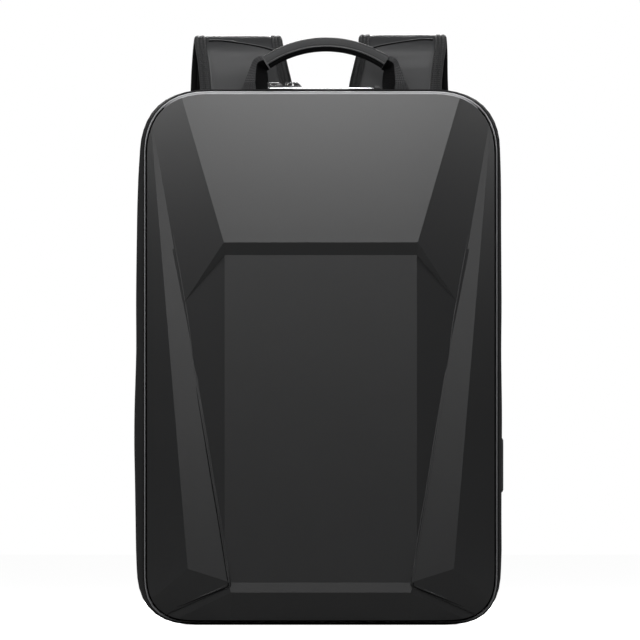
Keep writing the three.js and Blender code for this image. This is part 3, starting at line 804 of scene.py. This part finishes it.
# lips: a lighter colour, painted highlight; grooves: plain black, painted shade
for side, label, thin in ((-1, "Left", 1.0), (1, "Right", 0.6)):
    for name, kind, share, sink, look in (
        ("wingLipHighlight", "lip", 1.0, 0.35, lipLook),
        ("wingGrooveShade", "groove", thin, 0.55, shadeAndLiningLook),
        ("cornerGrooveShade", "corner", 1.0, 0.5, shadeAndLiningLook),
        ("cornerLipHighlight", "cornerLipHighlight", 1.0, 0.4, lipLook),
    ):
        line = mouldedLine(name + label, kind, side, share, sink)
        finishPiece(line, look, "shell_film")

# rim bead: a cord coloured light grey as painted highlight, lighter still along the top, with a
# dark groove on its inner side coloured black as painted shade

beadFacts = {
    "rows": [    # inset and depth behind the rim, in mm
        (2.0, 3.3), (1.9, 2.0), (1.95, 0.9), (2.2, 0.25), (2.6, 0.0), (3.05, 0.25),
        (3.3, 0.9), (3.4, 1.9), (4.3, 2.0), (6.0, 2.0), (6.0, 3.3), (2.0, 3.3),
    ],
    "frontY": -0.055,
    "shadedFrom": 0.0012,    # behind the rim, where the groove beside the shell lies in shade, the faces are coloured black as painted shade
    "grooveRows": (7, 10),
    "riseFrom": 0.452,
    "riseOver": 0.01,
    "rise": 0.0019,
}


def makeBead():
    rings = ringsOf(beadFacts)
    first, last = beadFacts["grooveRows"]
    for ring in rings[first:last]:    # along the top the groove beside it is only a fine line
        for spot in ring:
            share = (spot.z - beadFacts["riseFrom"]) / beadFacts["riseOver"]
            spot.y -= beadFacts["rise"] * max(0.0, min(1.0, share))
    bead = wrapGrid("rimBead", rings, loop=True)
    wear(bead, beadHighlightLook, shadeAndLiningLook)
    # painted shade: the groove's faces get the plain black material
    for face in bead.data.polygons:
        if face.center.y > beadFacts["frontY"] + beadFacts["shadedFrom"]:
            face.material_index = 1
    smoothAt(bead, 50)
    return bead


finishPiece(makeBead(), beadHighlightLook, "bead", "rim_bead")

# zip: tape on both sides and a row of teeth between

zipFacts = {
    "rows": [
        (3.3, 0.0), (3.1, 0.5), (3.1, 2.6), (3.5, 2.7), (3.0, 3.1), (2.75, 4.0), (3.0, 4.9),
        (3.5, 5.3), (3.1, 5.4), (3.1, 7.5), (3.3, 8.0), (6.0, 8.0), (6.0, 0.0), (3.3, 0.0),
    ],
    "frontY": -0.0513,
}


def makeZip():
    band = wrapGrid("zipBand", ringsOf(zipFacts), loop=True)
    smoothAt(band, 50)
    return band


finishPiece(makeZip(), zipLook, "zip_tape", "main_zip")

# cloth body: a tray with slightly slack sides

clothFacts = {
    "sections": [    # share of the depth, share of the swell, inset in mm
        (0.0, 0.0, 2.5), (0.0, 0.0, 0.6), (0.012, 0.02, 0.0), (0.05, 0.2, 0.0), (0.1, 0.45, 0.0),
        (0.18, 0.75, 0.0), (0.28, 0.94, 0.0), (0.4, 1.0, 0.0), (0.52, 1.02, 0.0), (0.64, 1.0, 0.0),
        (0.76, 0.88, 0.0), (0.86, 0.68, 0.0), (0.93, 0.46, 0.0), (0.965, 0.34, 0.2),
        (0.985, 0.28, 0.8), (1.0, 0.2, 2.6), (1.0, 0.0, 8.0), (1.0, 0.0, 20.0), (1.0, 0.0, 36.0),
    ],
    "lean": [    # height, then how much further each side bulges, in mm: left and right
        (0.0, 0.0, 0.0), (8, 0.2, -1.0), (22, 0.6, -2.2), (44, 1.2, -2.2), (66, 2.1, -1.3),
        (110, 3.1, -1.1), (154, 3.5, -1.2), (198, 3.2, -1.3), (242, 2.2, -1.4), (286, 1.8, -1.2),
        (330, 1.4, -1.4), (374, 0.6, -1.7), (396, 0.0, -2.2), (418, -1.4, -3.0),
        (440, -1.3, -1.6), (462, 0.0, 0.0), (480, 0.0, 0.0),
    ],
    "slack": 0.0007,
    "slackSize": 0.07,
    "flatUnder": 0.004,
    "looseOver": 0.05,
    "looseTopFrom": 0.4,
    "bulgeAcross": 0.13,
}


def sideBulge(spot):
    rows = clothFacts["lean"]
    column = 1 if spot.x < 0 else 2
    for low, high in zip(rows, rows[1:]):
        if low[0] <= spot.z * 1000 < high[0]:
            share = (spot.z * 1000 - low[0]) / (high[0] - low[0])
            return (low[column] + (high[column] - low[column]) * share) / 1000
    return 0.0


def makeBody():
    front, back = bodyFacts["frontY"], bodyFacts["backY"]
    rings = [
        outlineRing(
            inset / 1000, front + share * (back - front), swell * bodyFacts["swell"],
            share=cornerFacts["bodyShare"],
        )
        for share, swell, inset in clothFacts["sections"]
    ]
    body = wrapGrid("clothBody", rings, caps=False)
    for vert in body.data.vertices:    # cloth never lies quite flat, but it stays flat underneath
        loose = (vert.co.z - clothFacts["flatUnder"]) / clothFacts["looseOver"]
        wave = noise.noise(vert.co / clothFacts["slackSize"]) * clothFacts["slack"]
        middle = 1 - abs(vert.co.y / back) ** 4
        bulge = sideBulge(vert.co) * min(1.0, abs(vert.co.x) / clothFacts["bulgeAcross"]) ** 4
        outward = wave * min(1.0, max(0.0, loose)) + bulge
        vert.co.x += outward * max(0.0, middle) * math.copysign(1, vert.co.x)
        if vert.co.z > clothFacts["looseTopFrom"]:
            vert.co.z += wave * middle
    makeActive(body)
    editMode("EDGE")
    bpy.ops.mesh.select_non_manifold()
    objectMode()
    for edge in body.data.edges:
        spots = body.data.vertices
        if edge.select and spots[edge.vertices[0]].co.y < 0:
            edge.select = False
    bpy.ops.object.mode_set(mode="EDIT")
    bpy.ops.mesh.fill_holes(sides=0)
    bpy.ops.mesh.select_all(action="SELECT")
    bpy.ops.mesh.normals_make_consistent(inside=False)
    objectMode()
    addModifier(body, "SOLIDIFY", thickness=bodyFacts["wall"], offset=-1)
    applyModifiers(body)
    smoothAt(body, 40)
    return body


finishPiece(makeBody(), bodyLook, "body_fabric", "main_body")


pipingFacts = {"inset": 0.0019, "y": 0.0405, "radius": 0.0017, "sides": 10}


def makePiping():    # the bound seam round the back edge
    track = outlineRing(pipingFacts["inset"], pipingFacts["y"], share=cornerFacts["bodyShare"])
    path = [(spot, pipingFacts["radius"]) for spot in track]
    return tubeAlong("backPiping", path, pipingFacts["sides"], loop=True)


finishPiece(makePiping(), bindingLook, "binding")

print("shell, bead, zip and body ready")

# carry handle: padded grip with a sewn lower edge, and two folded webbing legs

gripFacts = {
    "middle": Vector((0.0046, 0.008, 0.4181)),
    "radius": 0.0941,
    "halfAngle": 33.9,
    "steps": 48,
    "section": [    # half of the section: distance from the middle and height, in mm
        (0.0, 6.3), (5.0, 6.25), (8.8, 5.9), (10.3, 5.2), (10.9, 4.1), (11.0, 2.6), (11.0, 0.2),
        (11.0, -0.8), (11.6, -1.15), (11.7, -1.7), (11.3, -2.2), (9.9, -2.4), (9.4, -3.4),
        (8.6, -4.8), (6.6, -5.9), (3.0, -6.3),
    ],
    "paintedShadeBelow": -2.35,
    "lipBelow": -0.9,
    "stitchEvery": 0.0043,
    "stitchHeight": 0.0002,
    "stitchAcross": 0.01095,
    "stitchSize": (0.0028, 0.0006, 0.0005),
    "stitchRound": 0.0002,
}


def gripSpot(angle, across, up):
    radius = gripFacts["radius"] + up
    middle = gripFacts["middle"]
    return Vector((
        middle.x + radius * math.sin(angle), middle.y + across, middle.z + radius * math.cos(angle),
    ))


def makeGrip():
    half = gripFacts["section"]
    section = half + [(-across, up) for across, up in reversed(half[1:])]
    limit = math.radians(gripFacts["halfAngle"])
    rings = []
    for step in range(gripFacts["steps"] + 1):
        angle = limit * (2 * step / gripFacts["steps"] - 1)
        rings.append([gripSpot(angle, across / 1000, up / 1000) for across, up in section])
    grip = wrapGrid("handleGrip", rings)
    smoothAt(grip, 35)
    wear(grip, leatherLook, shadeAndLiningLook, lipLook)
    middle = gripFacts["middle"]
    for face in grip.data.polygons:    # painted shade: the underside, which faces down away from the lights, is plain black
        up = math.hypot(face.center.x - middle.x, face.center.z - middle.z) - gripFacts["radius"]
        if up < gripFacts["paintedShadeBelow"] / 1000:
            face.material_index = 1
        elif up < gripFacts["lipBelow"] / 1000:
            face.material_index = 2
    return grip


def makeGripStitches():
    limit = math.radians(gripFacts["halfAngle"])
    count = int(2 * limit * gripFacts["radius"] / gripFacts["stitchEvery"])
    deselectAll()
    bpy.ops.mesh.primitive_cube_add(size=1)
    stitch = bpy.context.object
    bpy.ops.object.mode_set(mode="EDIT")
    bpy.ops.transform.resize(value=gripFacts["stitchSize"])
    bpy.ops.mesh.bevel(offset=gripFacts["stitchRound"], segments=2, affect="EDGES")
    objectMode()
    bpy.ops.object.shade_smooth()
    places = []
    for n in range(count):
        angle = limit * (2 * (n + 0.5) / count - 1)
        for side in (-1, 1):
            spot = gripSpot(angle, side * gripFacts["stitchAcross"], gripFacts["stitchHeight"])
            places.append(Matrix.Translation(spot) @ Matrix.Rotation(angle, 4, "Y"))
    return placeCopies(stitch, "gripStitches", places)


grip = finishPiece(makeGrip(), leatherLook, "grip_leather", "handle_grip")
finishPiece(makeGripStitches(), threadLook, "webbing")

legFacts = {
    "sway": 0.004,
    "rows": [    # outer and inner edge from the bag up to the grip: out from the middle, height
        ((74.3, 472.3), (50.5, 472.3)), ((72.9, 475.4), (50.4, 475.4)),
        ((71.6, 478.6), (50.4, 479.0)), ((69.0, 485.4), (50.6, 483.4)),
        ((66.6, 491.6), (51.0, 486.4)), ((64.6, 496.6), (51.4, 488.4)),
        ((62.6, 499.4), (51.4, 489.3)), ((59.8, 501.2), (50.6, 489.5)),
        ((56.9, 502.2), (49.3, 489.9)),
    ],
    "perRow": 4,
    "columns": (5, 7),    # on the lit side and on the folded side
    "thickness": 0.002,
    "foldFrom": (0.56, 0.3),    # at the bag and at the grip
    "foldDepth": 0.013,
    "frontY": (0.008, -0.0015),    # also at the bag and at the grip
    "belly": 0.0012,
    "turnRate": 1.25,    # how soon each change from bag to grip is done
    "depthRate": 2.2,
    "foldRate": 1.6,
}


def legDepth(u, fold, s):    # the webbing turns from facing forwards to lying flat through the grip
    low, high = legFacts["frontY"]
    front = low + (high - low) * min(1.0, s * legFacts["turnRate"])
    inward = max(0.0, (u - fold) / (1 - fold))
    return front + legFacts["foldDepth"] * min(1.0, s * legFacts["depthRate"]) * inward ** 1.3


def makeLeg(side):
    rows = [
        [Vector((legFacts["sway"] + side * out / 1000, 0, up / 1000)) for out, up in row]
        for row in legFacts["rows"]
    ]
    outer, inner = [row[0] for row in rows], [row[1] for row in rows]
    rings = []
    total = (len(rows) - 1) * legFacts["perRow"]
    for n in range(total + 1):
        i, step = min(divmod(n, legFacts["perRow"]), (len(rows) - 2, legFacts["perRow"]))
        t = step / legFacts["perRow"]
        a, b, s = smoothBetween(outer, i, t), smoothBetween(inner, i, t), n / total
        face, behind = [], []
        lit, folded = legFacts["columns"]
        low, high = legFacts["foldFrom"]
        fold = low + (high - low) * min(1.0, s * legFacts["foldRate"])
        for k in range(lit + folded + 1):
            u = fold * k / lit if k <= lit else fold + (1 - fold) * (k - lit) / folded
            spot = a.lerp(b, u)
            spot.y = legDepth(u, fold, s) - legFacts["belly"] * math.sin(math.pi * u) * (1 - s)
            face.append(spot)
            behind.append(spot + Vector((0, legFacts["thickness"], 0)))
        rings.append(face + behind[::-1])
    leg = wrapGrid("handleLegLeft" if side < 0 else "handleLegRight", rings)
    smoothAt(leg, 50)
    wear(leg, webbingLook, shadeAndLiningLook)
    middle = rings[total // 2]
    edge = sum((middle[k + 1] - middle[k]).length for k in range(lit))
    around = sum((a - b).length for a, b in zip(middle, middle[1:] + middle[:1]))
    folds = leg.data.uv_layers.active.data
    for face in leg.data.polygons:    # its underside, folded inwards, is plain black: painted shade for the deep fold under the grip
        u = sum(folds[k].uv[0] for k in face.loop_indices) / len(face.loop_indices)
        if edge < u < around - edge:
            face.material_index = 1
    return leg


for side, label in ((-1, "left"), (1, "right")):
    finishPiece(makeLeg(side), webbingLook, "webbing", "handle_leg_" + label)

print("handle ready")

# shoulder straps: a padded middle between two ribbed bindings

strapFacts = {
    "thickness": 0.009,
    "reach": 0.047,
    "tops": {-1: 0.5204, 1: 0.5214},    # the right one stands a little higher
    "rightLean": 0.0075,    # and its back run lies a little further in
    "leanReach": 0.3,
    "leanLevel": 0.75,
    "leanTop": 1.02,
    "leanOver": 0.09,
    "rootY": 0.0478,
    "rows": [    # reach, level, across and width, as shares
        (0, 0.812, 0.212, 0.24), (0, 0.86, 0.21, 0.254), (0, 0.907, 0.2088, 0.261),
        (0.02, 0.948, 0.2185, 0.253), (0.13, 0.975, 0.2275, 0.249), (0.36, 0.9912, 0.232, 0.247),
        (0.66, 0.9885, 0.235, 0.246), (0.88, 0.968, 0.238, 0.247), (0.99, 0.93, 0.241, 0.249),
        (1.03, 0.87, 0.243, 0.251), (1.05, 0.78, 0.247, 0.245), (1.04, 0.68, 0.256, 0.23),
        (0.98, 0.58, 0.27, 0.212), (0.88, 0.48, 0.287, 0.195), (0.77, 0.4, 0.3, 0.18),
    ],
    "perRow": 9,
    "binding": 0.0097,
    "bendAt": 0.5,
    "bendOver": 0.02,
    "wrinkle": 0.0006,
    "wrinkleRows": [(30, 0.35, 3.7), (14, 0.09, 1.3)],    # fine and broad: across, along, start
    "paddedTo": 0.008,
    "insideFrom": 0.2,
    "insideFacing": 0.35,
}


def strapStations(side):    # places along a strap with its width, its side and the loop's inside
    centres, widths = [], []
    for reach, level, across, width in strapFacts["rows"]:
        if side > 0 and reach > strapFacts["leanReach"] and level > strapFacts["leanLevel"]:
            share = (strapFacts["leanTop"] - level) / strapFacts["leanOver"]
            across -= strapFacts["rightLean"] * min(1.0, share)
        centres.append(Vector((
            side * across * bodyFacts["width"],
            strapFacts["rootY"] + reach * strapFacts["reach"],
            level * strapFacts["tops"][side],
        )))
        widths.append(width * bodyFacts["width"])
    path = smoothPath(centres, strapFacts["perRow"])
    across = Vector((1, 0, 0))
    stations = []
    for n, width in enumerate(smoothPath(widths, strapFacts["perRow"])):
        inside = runAt(path, n).cross(across).normalized()
        stations.append((path[n], width, across, inside))
    return stations


def strapSection(width, half):    # flat padding, thin where the bindings cover it
    edge = width / 2 - 0.0014
    inner = width / 2 - strapFacts["binding"]
    line = [
        (edge, 0.1), (edge - 0.0006, 0.5), (edge - 0.003, 0.66), (inner + 0.002, 0.7),
        (inner + 0.0003, 0.72), (inner - 0.0006, 0.86), (inner - 0.0022, 0.95),
        (inner - 0.006, 0.99), (inner * 0.5, 1.0), (0.0, 1.0),
    ]
    upper = [(x, h * half) for x, h in line]
    upper += [(-x, h) for x, h in upper[-2::-1]]
    return upper + [(x, -h) for x, h in upper[::-1]]


def bindingSection(width, half, sense):    # tape folded round one edge, sewn down along its middle
    edge = width / 2
    inner = edge - strapFacts["binding"]
    top = 0.86 * half
    out = [
        (inner, top - 0.0006), (inner + 0.0004, top + 0.0004), (inner + 0.002, top + 0.0007),
        (inner + 0.0038, top + 0.0004), (inner + 0.0045, top - 0.0001),
        (inner + 0.0052, top + 0.0004), (inner + 0.007, top + 0.0006),
        (edge - 0.001, top - 0.0002), (edge - 0.0002, top * 0.6), (edge, 0.0),
    ]
    out += [(x, -h) for x, h in out[-2::-1]]
    back = [
        (inner, -0.68 * half), (inner + 0.003, -0.67 * half), (edge - 0.0026, -0.55 * half),
        (edge - 0.0013, 0.0), (edge - 0.0026, 0.55 * half), (inner + 0.003, 0.67 * half),
        (inner, 0.68 * half),
    ]
    return [(sense * x, h) for x, h in out + back]


def strapWrinkle(x, n, stations):    # slack folds where the strap turns over the top
    bend = math.exp(-((stations[n][0].z - strapFacts["bendAt"]) / strapFacts["bendOver"]) ** 2)
    fine, broad = [
        noise.noise(Vector((x * across, n * along, start)))
        for across, along, start in strapFacts["wrinkleRows"]
    ]
    return (fine * bend + broad) * strapFacts["wrinkle"]


def liningAndShadeInside(piece, stations):    # the side of the loop that lies on the shoulder is black: on the strap partly its own dark backing, partly painted shade; on the binding only painted shade
    wear(piece, strapLook if "shoulder" in piece.name else bindingLook, shadeAndLiningLook)
    behind = strapFacts["rootY"] + strapFacts["insideFrom"] * strapFacts["reach"]
    for face in piece.data.polygons:
        spot = face.center
        near = min(
            stations, key=lambda row: (row[0].y - spot.y) ** 2 + (row[0].z - spot.z) ** 2,
        )
        if face.normal.dot(near[3]) > strapFacts["insideFacing"] and near[0].y > behind:
            face.material_index = 1


def makeStrap(side, label):
    stations = strapStations(side)
    half = strapFacts["thickness"] / 2
    rings = []
    for n, (centre, width, across, out) in enumerate(stations):
        ring = []
        for x, h in strapSection(width, half):
            fade = max(0.0, 1 - abs(x) / (width / 2 - strapFacts["paddedTo"])) ** 0.5
            lift = strapWrinkle(x, n, stations) * fade
            ring.append(centre + across * x + out * (h + lift))
        rings.append(ring)
    strap = wrapGrid("shoulderStrap" + label, rings)
    bindings = []
    for sense in (-1, 1):
        rings = [
            [centre + across * x + out * h for x, h in bindingSection(width, half, sense)]
            for centre, width, across, out in stations
        ]
        bindings.append(wrapGrid("strapBinding", rings))
    binding = mergeInto("strapBinding" + label, bindings)
    smoothAt(binding, 50)
    liningAndShadeInside(strap, stations)
    liningAndShadeInside(binding, stations)
    return strap, binding


seamFacts = {
    "line": [    # out from the middle and up
        (-0.0993, 0.5157), (-0.0879, 0.5157), (-0.068, 0.513), (-0.0524, 0.5102),
        (-0.0422, 0.5073),
    ],
    "seam": (0.0008, 0.0, 0.0),    # radius, height over that line and distance before the strap; a black line of painted shadow under the fold
    # the same for a lighter line over it, a painted highlight on the fold's edge
    "fold": (0.00045, 0.001, 0.0003),
    "perSpan": 8,
    "sides": 8,
}


def strapFaceY(stations, z):    # how far back the strap's front face lies at a height
    half = strapFacts["thickness"] / 2
    faces = [centre - out * half for centre, width, across, out in stations]
    for a, b in zip(faces, faces[1:]):
        if a.z <= z < b.z:
            return a.y + (b.y - a.y) * (z - a.z) / (b.z - a.z)
    return faces[0].y


def makeStrapSeam(name, side, radius, rise, proud):    # sewn across where a strap turns back: a thin line, which is drawn black as painted shadow under the fold and lighter as painted highlight on its edge
    stations = strapStations(side)
    lift = rise + strapFacts["tops"][side] - strapFacts["tops"][-1]
    track = [Vector((-side * x, 0, z + lift)) for x, z in seamFacts["line"]]
    path = smoothPath(track, seamFacts["perSpan"])
    for spot in path:
        spot.y = strapFaceY(stations, spot.z) - proud
    rows = [(spot, radius) for spot in path]
    return tubeAlong(name, rows, seamFacts["sides"], square=True)


for side, label in ((-1, "Left"), (1, "Right")):
    seam = makeStrapSeam("strapSeamShadow" + label, side, *seamFacts["seam"])
    finishPiece(seam, shadeAndLiningLook, "binding")
    fold = makeStrapSeam("strapFoldHighlight" + label, side, *seamFacts["fold"])
    finishPiece(fold, foldHighlightLook, "strap_fabric")
    strap, binding = makeStrap(side, label)
    finishPiece(strap, strapLook, "strap_fabric", "shoulder_strap_" + label.lower())
    finishPiece(binding, bindingLook, "binding")

print("straps ready")

# zip plate, its end button and the two parked pullers

plateFacts = {"edge": 0.0005, "steps": 3, "squash": 0.68}
buttonFacts = {"edge": 0.0007, "steps": 3}
pullerFacts = {"edge": 0.0005, "steps": 2, "sink": 0.0006}


def makeRounded(node, name, facts):    # a solid with rounded edges
    piece = copyOfNode(node, name)
    low = min(vert.co.z for vert in piece.data.vertices)
    for vert in piece.data.vertices:
        vert.co.z = low + (vert.co.z - low) * facts.get("squash", 1.0)
    bevelEdges(piece, facts["edge"], facts["steps"], 30)
    return piece


plate = makeRounded("zip_plate", "zipPlate", plateFacts)
finishPiece(plate, chromeLook, "plate_metal", "zip_plate")
button = makeRounded("plate_button", "plateButton", buttonFacts)
finishPiece(button, plasticLook, "black_plastic", "plate_button")


def makePuller(node, name):    # bright edges round black faces
    puller = copyOfNode(node, name)
    for vert in puller.data.vertices:    # they lie on the plate
        vert.co.z -= pullerFacts["sink"]
    bevelEdges(puller, pullerFacts["edge"], pullerFacts["steps"], 30, hard=False)
    finishPiece(puller, chromeLook, "plate_metal", node)
    wear(puller, enamelLook)
    for face in puller.data.polygons:
        if face.normal.z < 0.6 and abs(face.normal.x) < 0.75:
            face.material_index = 1
    smoothAt(puller, 35)


makePuller("zip_puller_first", "pullerFirst")
makePuller("zip_puller_second", "pullerSecond")

# cable port flap

portFacts = {
    "edge": 0.0006,
    "lip": 0.0016,
    "step": 0.0004,
    "stepDepth": 0.0006,
    "sink": 0.0026,
    "outerX": 0.1632,
    "middleZ": 0.1405,
    "reachZ": 0.03,
}


def makePort():
    port = copyOfNode("cable_port", "cablePort")
    for vert in port.data.vertices:    # it lies close against the cloth
        vert.co.x -= portFacts["sink"]
    outer = portFacts["outerX"] - portFacts["sink"]
    pickFaces(port, lambda spot, normal: (
        normal.x > 0.95 and spot.x > outer
        and abs(spot.z - portFacts["middleZ"]) < portFacts["reachZ"]
    ))
    bpy.ops.mesh.inset(thickness=portFacts["lip"], depth=0)
    bpy.ops.mesh.inset(thickness=portFacts["step"], depth=-portFacts["stepDepth"])
    objectMode()
    bevelEdges(port, portFacts["edge"], 2, 25)
    return port


finishPiece(makePort(), rubberLook, "port_rubber", "cable_port")

print("plate, pullers and port ready")

# back pads: a simulation shifts their cloth, then a crown and sewn channels set their face

padFacts = {
    "size": (0.106, 0.310),
    "across": 0.071,
    "low": 0.088,
    "backY": 0.0433,
    "thickness": 0.008,
    "corner": 0.024,
    "columns": 44,
    "rows": 128,
    "pressure": 4,
    "frames": 20,
    "cap": 0.003,
    "channelEvery": 0.062,
    "channelDepth": 0.0018,
    "channelWidth": 0.004,
    "channelSlope": 0.012,
    "channelsTo": 0.9,
    "crown": (0.62, 0.42),    # at the rim and added in the middle, as shares of the thickness
    "inset": 0.001,
    "binding": [    # out and up, in mm
        (0.2, 0), (0.4, 1.8), (0.1, 3.6), (-1.4, 4.9), (-3.2, 5.6), (-4.6, 5.4), (-4.6, 0),
    ],
}


def padMiddle(side):
    up = padFacts["low"] + padFacts["size"][1] / 2
    return Vector((side * padFacts["across"], padFacts["backY"], up))


def makePad(side, label):
    wide, tall = padFacts["size"]
    middle = padMiddle(side)
    inset, thick = padFacts["inset"], padFacts["thickness"]
    deselectAll()
    bpy.ops.mesh.primitive_grid_add(
        x_subdivisions=padFacts["columns"], y_subdivisions=padFacts["rows"], size=1,
        rotation=(-math.pi / 2, 0, 0), location=middle + Vector((0, thick - inset, 0)),
    )
    pad = bpy.context.object
    pad.name = "backPad" + label
    pad.data.name = pad.name
    pad.scale = (wide - 2 * inset, tall - 2 * inset, 1)
    bpy.ops.object.transform_apply(location=True, rotation=True, scale=True)
    corner = padFacts["corner"]
    for vert in pad.data.vertices:    # rounds the sheet's corners
        past = [
            abs(vert.co[i] - middle[i]) - size / 2 + inset + corner
            for i, size in ((0, wide), (2, tall))
        ]
        if min(past) > 0:
            pull = max(past) / math.hypot(*past)
            for i, far in ((0, past[0]), (2, past[1])):
                vert.co[i] -= math.copysign(far * (1 - pull), vert.co[i] - middle[i])
    addModifier(pad, "SOLIDIFY", thickness=thick - 2 * inset, offset=-1)
    applyModifiers(pad)
    start = [vert.co.copy() for vert in pad.data.vertices]
    cloth = addModifier(pad, "CLOTH")
    cloth.settings.use_pressure = True
    cloth.settings.uniform_pressure_force = padFacts["pressure"]
    cloth.settings.effector_weights.gravity = 0
    cloth.point_cache.frame_start = 1
    cloth.point_cache.frame_end = padFacts["frames"]
    for frameNumber in range(1, padFacts["frames"] + 1):
        bpy.context.scene.frame_set(frameNumber)
    applyModifiers(pad)
    bpy.context.scene.frame_set(1)
    rim, rise = padFacts["crown"]
    every = padFacts["channelEvery"]
    for vert, first in zip(pad.data.vertices, start):
        moved = vert.co - first
        if moved.length > padFacts["cap"]:
            vert.co = first + moved.normalized() * padFacts["cap"]
        vert.co.y = max(vert.co.y, middle.y)
        x = (vert.co.x - middle.x) / (wide / 2)
        z = (vert.co.z - middle.z) / (tall / 2)
        if (vert.co.y - middle.y) / thick > 0.5:
            crown = (1 - abs(x) ** 3) * (1 - abs(z) ** 6)
            vert.co.y = middle.y + thick * (rim + rise * crown)
            slope = (vert.co.z - padFacts["low"]) % every - every / 2
            slope += abs(x) * padFacts["channelSlope"]
            if abs(z) < padFacts["channelsTo"]:
                press = math.exp(-(slope / padFacts["channelWidth"]) ** 2)
                vert.co.y -= padFacts["channelDepth"] * press
    subdivideOnce(pad)
    makeActive(pad)
    bpy.ops.object.shade_smooth()
    return pad


def makePadBinding(side, label):    # the sewn tape round a pad
    wide, tall = padFacts["size"]
    corner = padFacts["corner"]
    middle = padMiddle(side)
    track = []
    for cx, cz, start in ((1, 1, 0), (-1, 1, 90), (-1, -1, 180), (1, -1, 270)):
        turn = middle + Vector((cx * (wide / 2 - corner), 0, cz * (tall / 2 - corner)))
        for step in range(9):
            angle = math.radians(start + 90 * step / 8)
            way = Vector((math.cos(angle), 0, math.sin(angle)))
            track.append((turn + way * corner, way))
    track.append(track[0])
    rings = [
        [
            centre + way * out / 1000 + Vector((0, deep / 1000, 0))
            for out, deep in padFacts["binding"]
        ]
        for centre, way in track
    ]
    binding = wrapGrid("padBinding" + label, rings, loop=True)
    smoothAt(binding, 60)
    return binding


for side, label in ((-1, "Left"), (1, "Right")):
    pad = finishPiece(makePad(side, label), meshLook, "pad_mesh", "back_pad_" + label.lower())
    finishPiece(makePadBinding(side, label), bindingLook, "binding")

print("back pads ready")

# strap yoke, tapes, buckles, webbing and tabs

runFacts = {
    "tabAcross": 0.128,
    "tabUp": 0.038,
    "tabY": 0.0476,
    "webbing": 0.025,
    "thick": 0.0016,
    "bar": 0.0036,
    "slot": 0.006,
    "stand": 0.008,
    "grip": 0.024,
    "tail": 0.07,
    "turnRadius": 0.0038,
    "tapeOut": 0.0056,
    "lift": 0.038,
    "straight": 0.006,
    "tapeBends": (-0.01, 0.0003),
    "selvedge": (0.0004, 0.002),    # where the tape's edge thins
    "perSpan": 4,
}


def lowerRun(side):    # the straight run from a strap's end to its tab
    reach, level, across = strapFacts["rows"][-1][:3]
    start = Vector((
        side * across * bodyFacts["width"],
        strapFacts["rootY"] + reach * strapFacts["reach"],
        level * strapFacts["tops"][side],
    ))
    end = Vector((side * runFacts["tabAcross"], runFacts["tabY"], runFacts["tabUp"]))
    down = end - start
    length = down.length
    down.normalize()
    across = Vector((1, 0, 0))
    across = (across - down * across.dot(down)).normalized()
    out = across.cross(down)
    if out.y < 0:
        out = -out
    return start, length, down, across, out


def bandAlong(name, side, points):    # flat tape through points along and out of the run
    start, length, down, across, out = lowerRun(side)
    w, h = runFacts["webbing"] / 2, runFacts["thick"] / 2
    thin, full = runFacts["selvedge"]
    upper = [(x, h) for x in (thin - w, full - w, -w * 0.45, 0, w * 0.45, w - full, w - thin)]
    section = [(-w, 0)] + upper + [(w, 0)] + [(x, -y) for x, y in reversed(upper)]
    places = [start + down * along + out * off for along, off in points]
    path = smoothPath(places, runFacts["perSpan"])
    rings = []
    for n, centre in enumerate(path):
        deep = runAt(path, n).cross(across).normalized()
        rings.append([centre + across * x + deep * y for x, y in section])
    band = wrapGrid(name, rings)
    smoothAt(band, 50)
    return band


def halfTurn(middle, radius, sense):
    return [
        (middle + sense * radius * math.sin(math.pi * k / 6), -radius * math.cos(math.pi * k / 6))
        for k in range(7)
    ]


def makeLowerWebbing(side, label):
    length = lowerRun(side)[1]
    radius, bar = runFacts["turnRadius"], runFacts["bar"]
    last = runFacts["stand"] + 2 * (bar + runFacts["slot"]) + bar / 2
    points = [
        (length, 0), (length - runFacts["lift"], -radius / 2),
        (last + runFacts["straight"], -radius),
    ]
    points += halfTurn(last, radius, -1)
    points += [(last + runFacts["tail"] / 2, radius), (last + runFacts["tail"], radius)]
    return bandAlong("lowerWebbing" + label, side, points)


def makeBuckleTape(side, label):
    out = runFacts["tapeOut"]
    near, far = runFacts["tapeBends"]
    points = [(-runFacts["grip"], -out), (near, -out), (far, -out)]
    points += halfTurn(runFacts["stand"] + runFacts["bar"] / 2, runFacts["turnRadius"], 1)
    points += [(far, out), (near, out), (-runFacts["grip"], out)]
    return bandAlong("buckleTape" + label, side, points)


yokeFacts = {"edge": 0.0007, "steps": 2}
buckleFacts = {"edge": 0.0009, "steps": 3}
tabFacts = {"edge": 0.0006, "steps": 2}

yoke = makeRounded("strap_yoke", "strapYoke", yokeFacts)
boxUv(yoke)
finishPiece(yoke, bindingLook, "binding", "strap_yoke")

for side, label in ((-1, "Left"), (1, "Right")):
    low = label.lower()
    finishPiece(makeLowerWebbing(side, label), webbingLook, "webbing", "lower_webbing_" + low)
    finishPiece(makeBuckleTape(side, label), webbingLook, "webbing", "buckle_tape_" + low)
    buckle = makeRounded("buckle_" + low, "buckle" + label, buckleFacts)
    finishPiece(buckle, plasticLook, "black_plastic", "buckle_" + low)
    tab = makeRounded("anchor_tab_" + low, "anchorTab" + label, tabFacts)
    boxUv(tab)
    finishPiece(tab, bindingLook, "binding", "anchor_tab_" + low)

print("strap hardware ready")
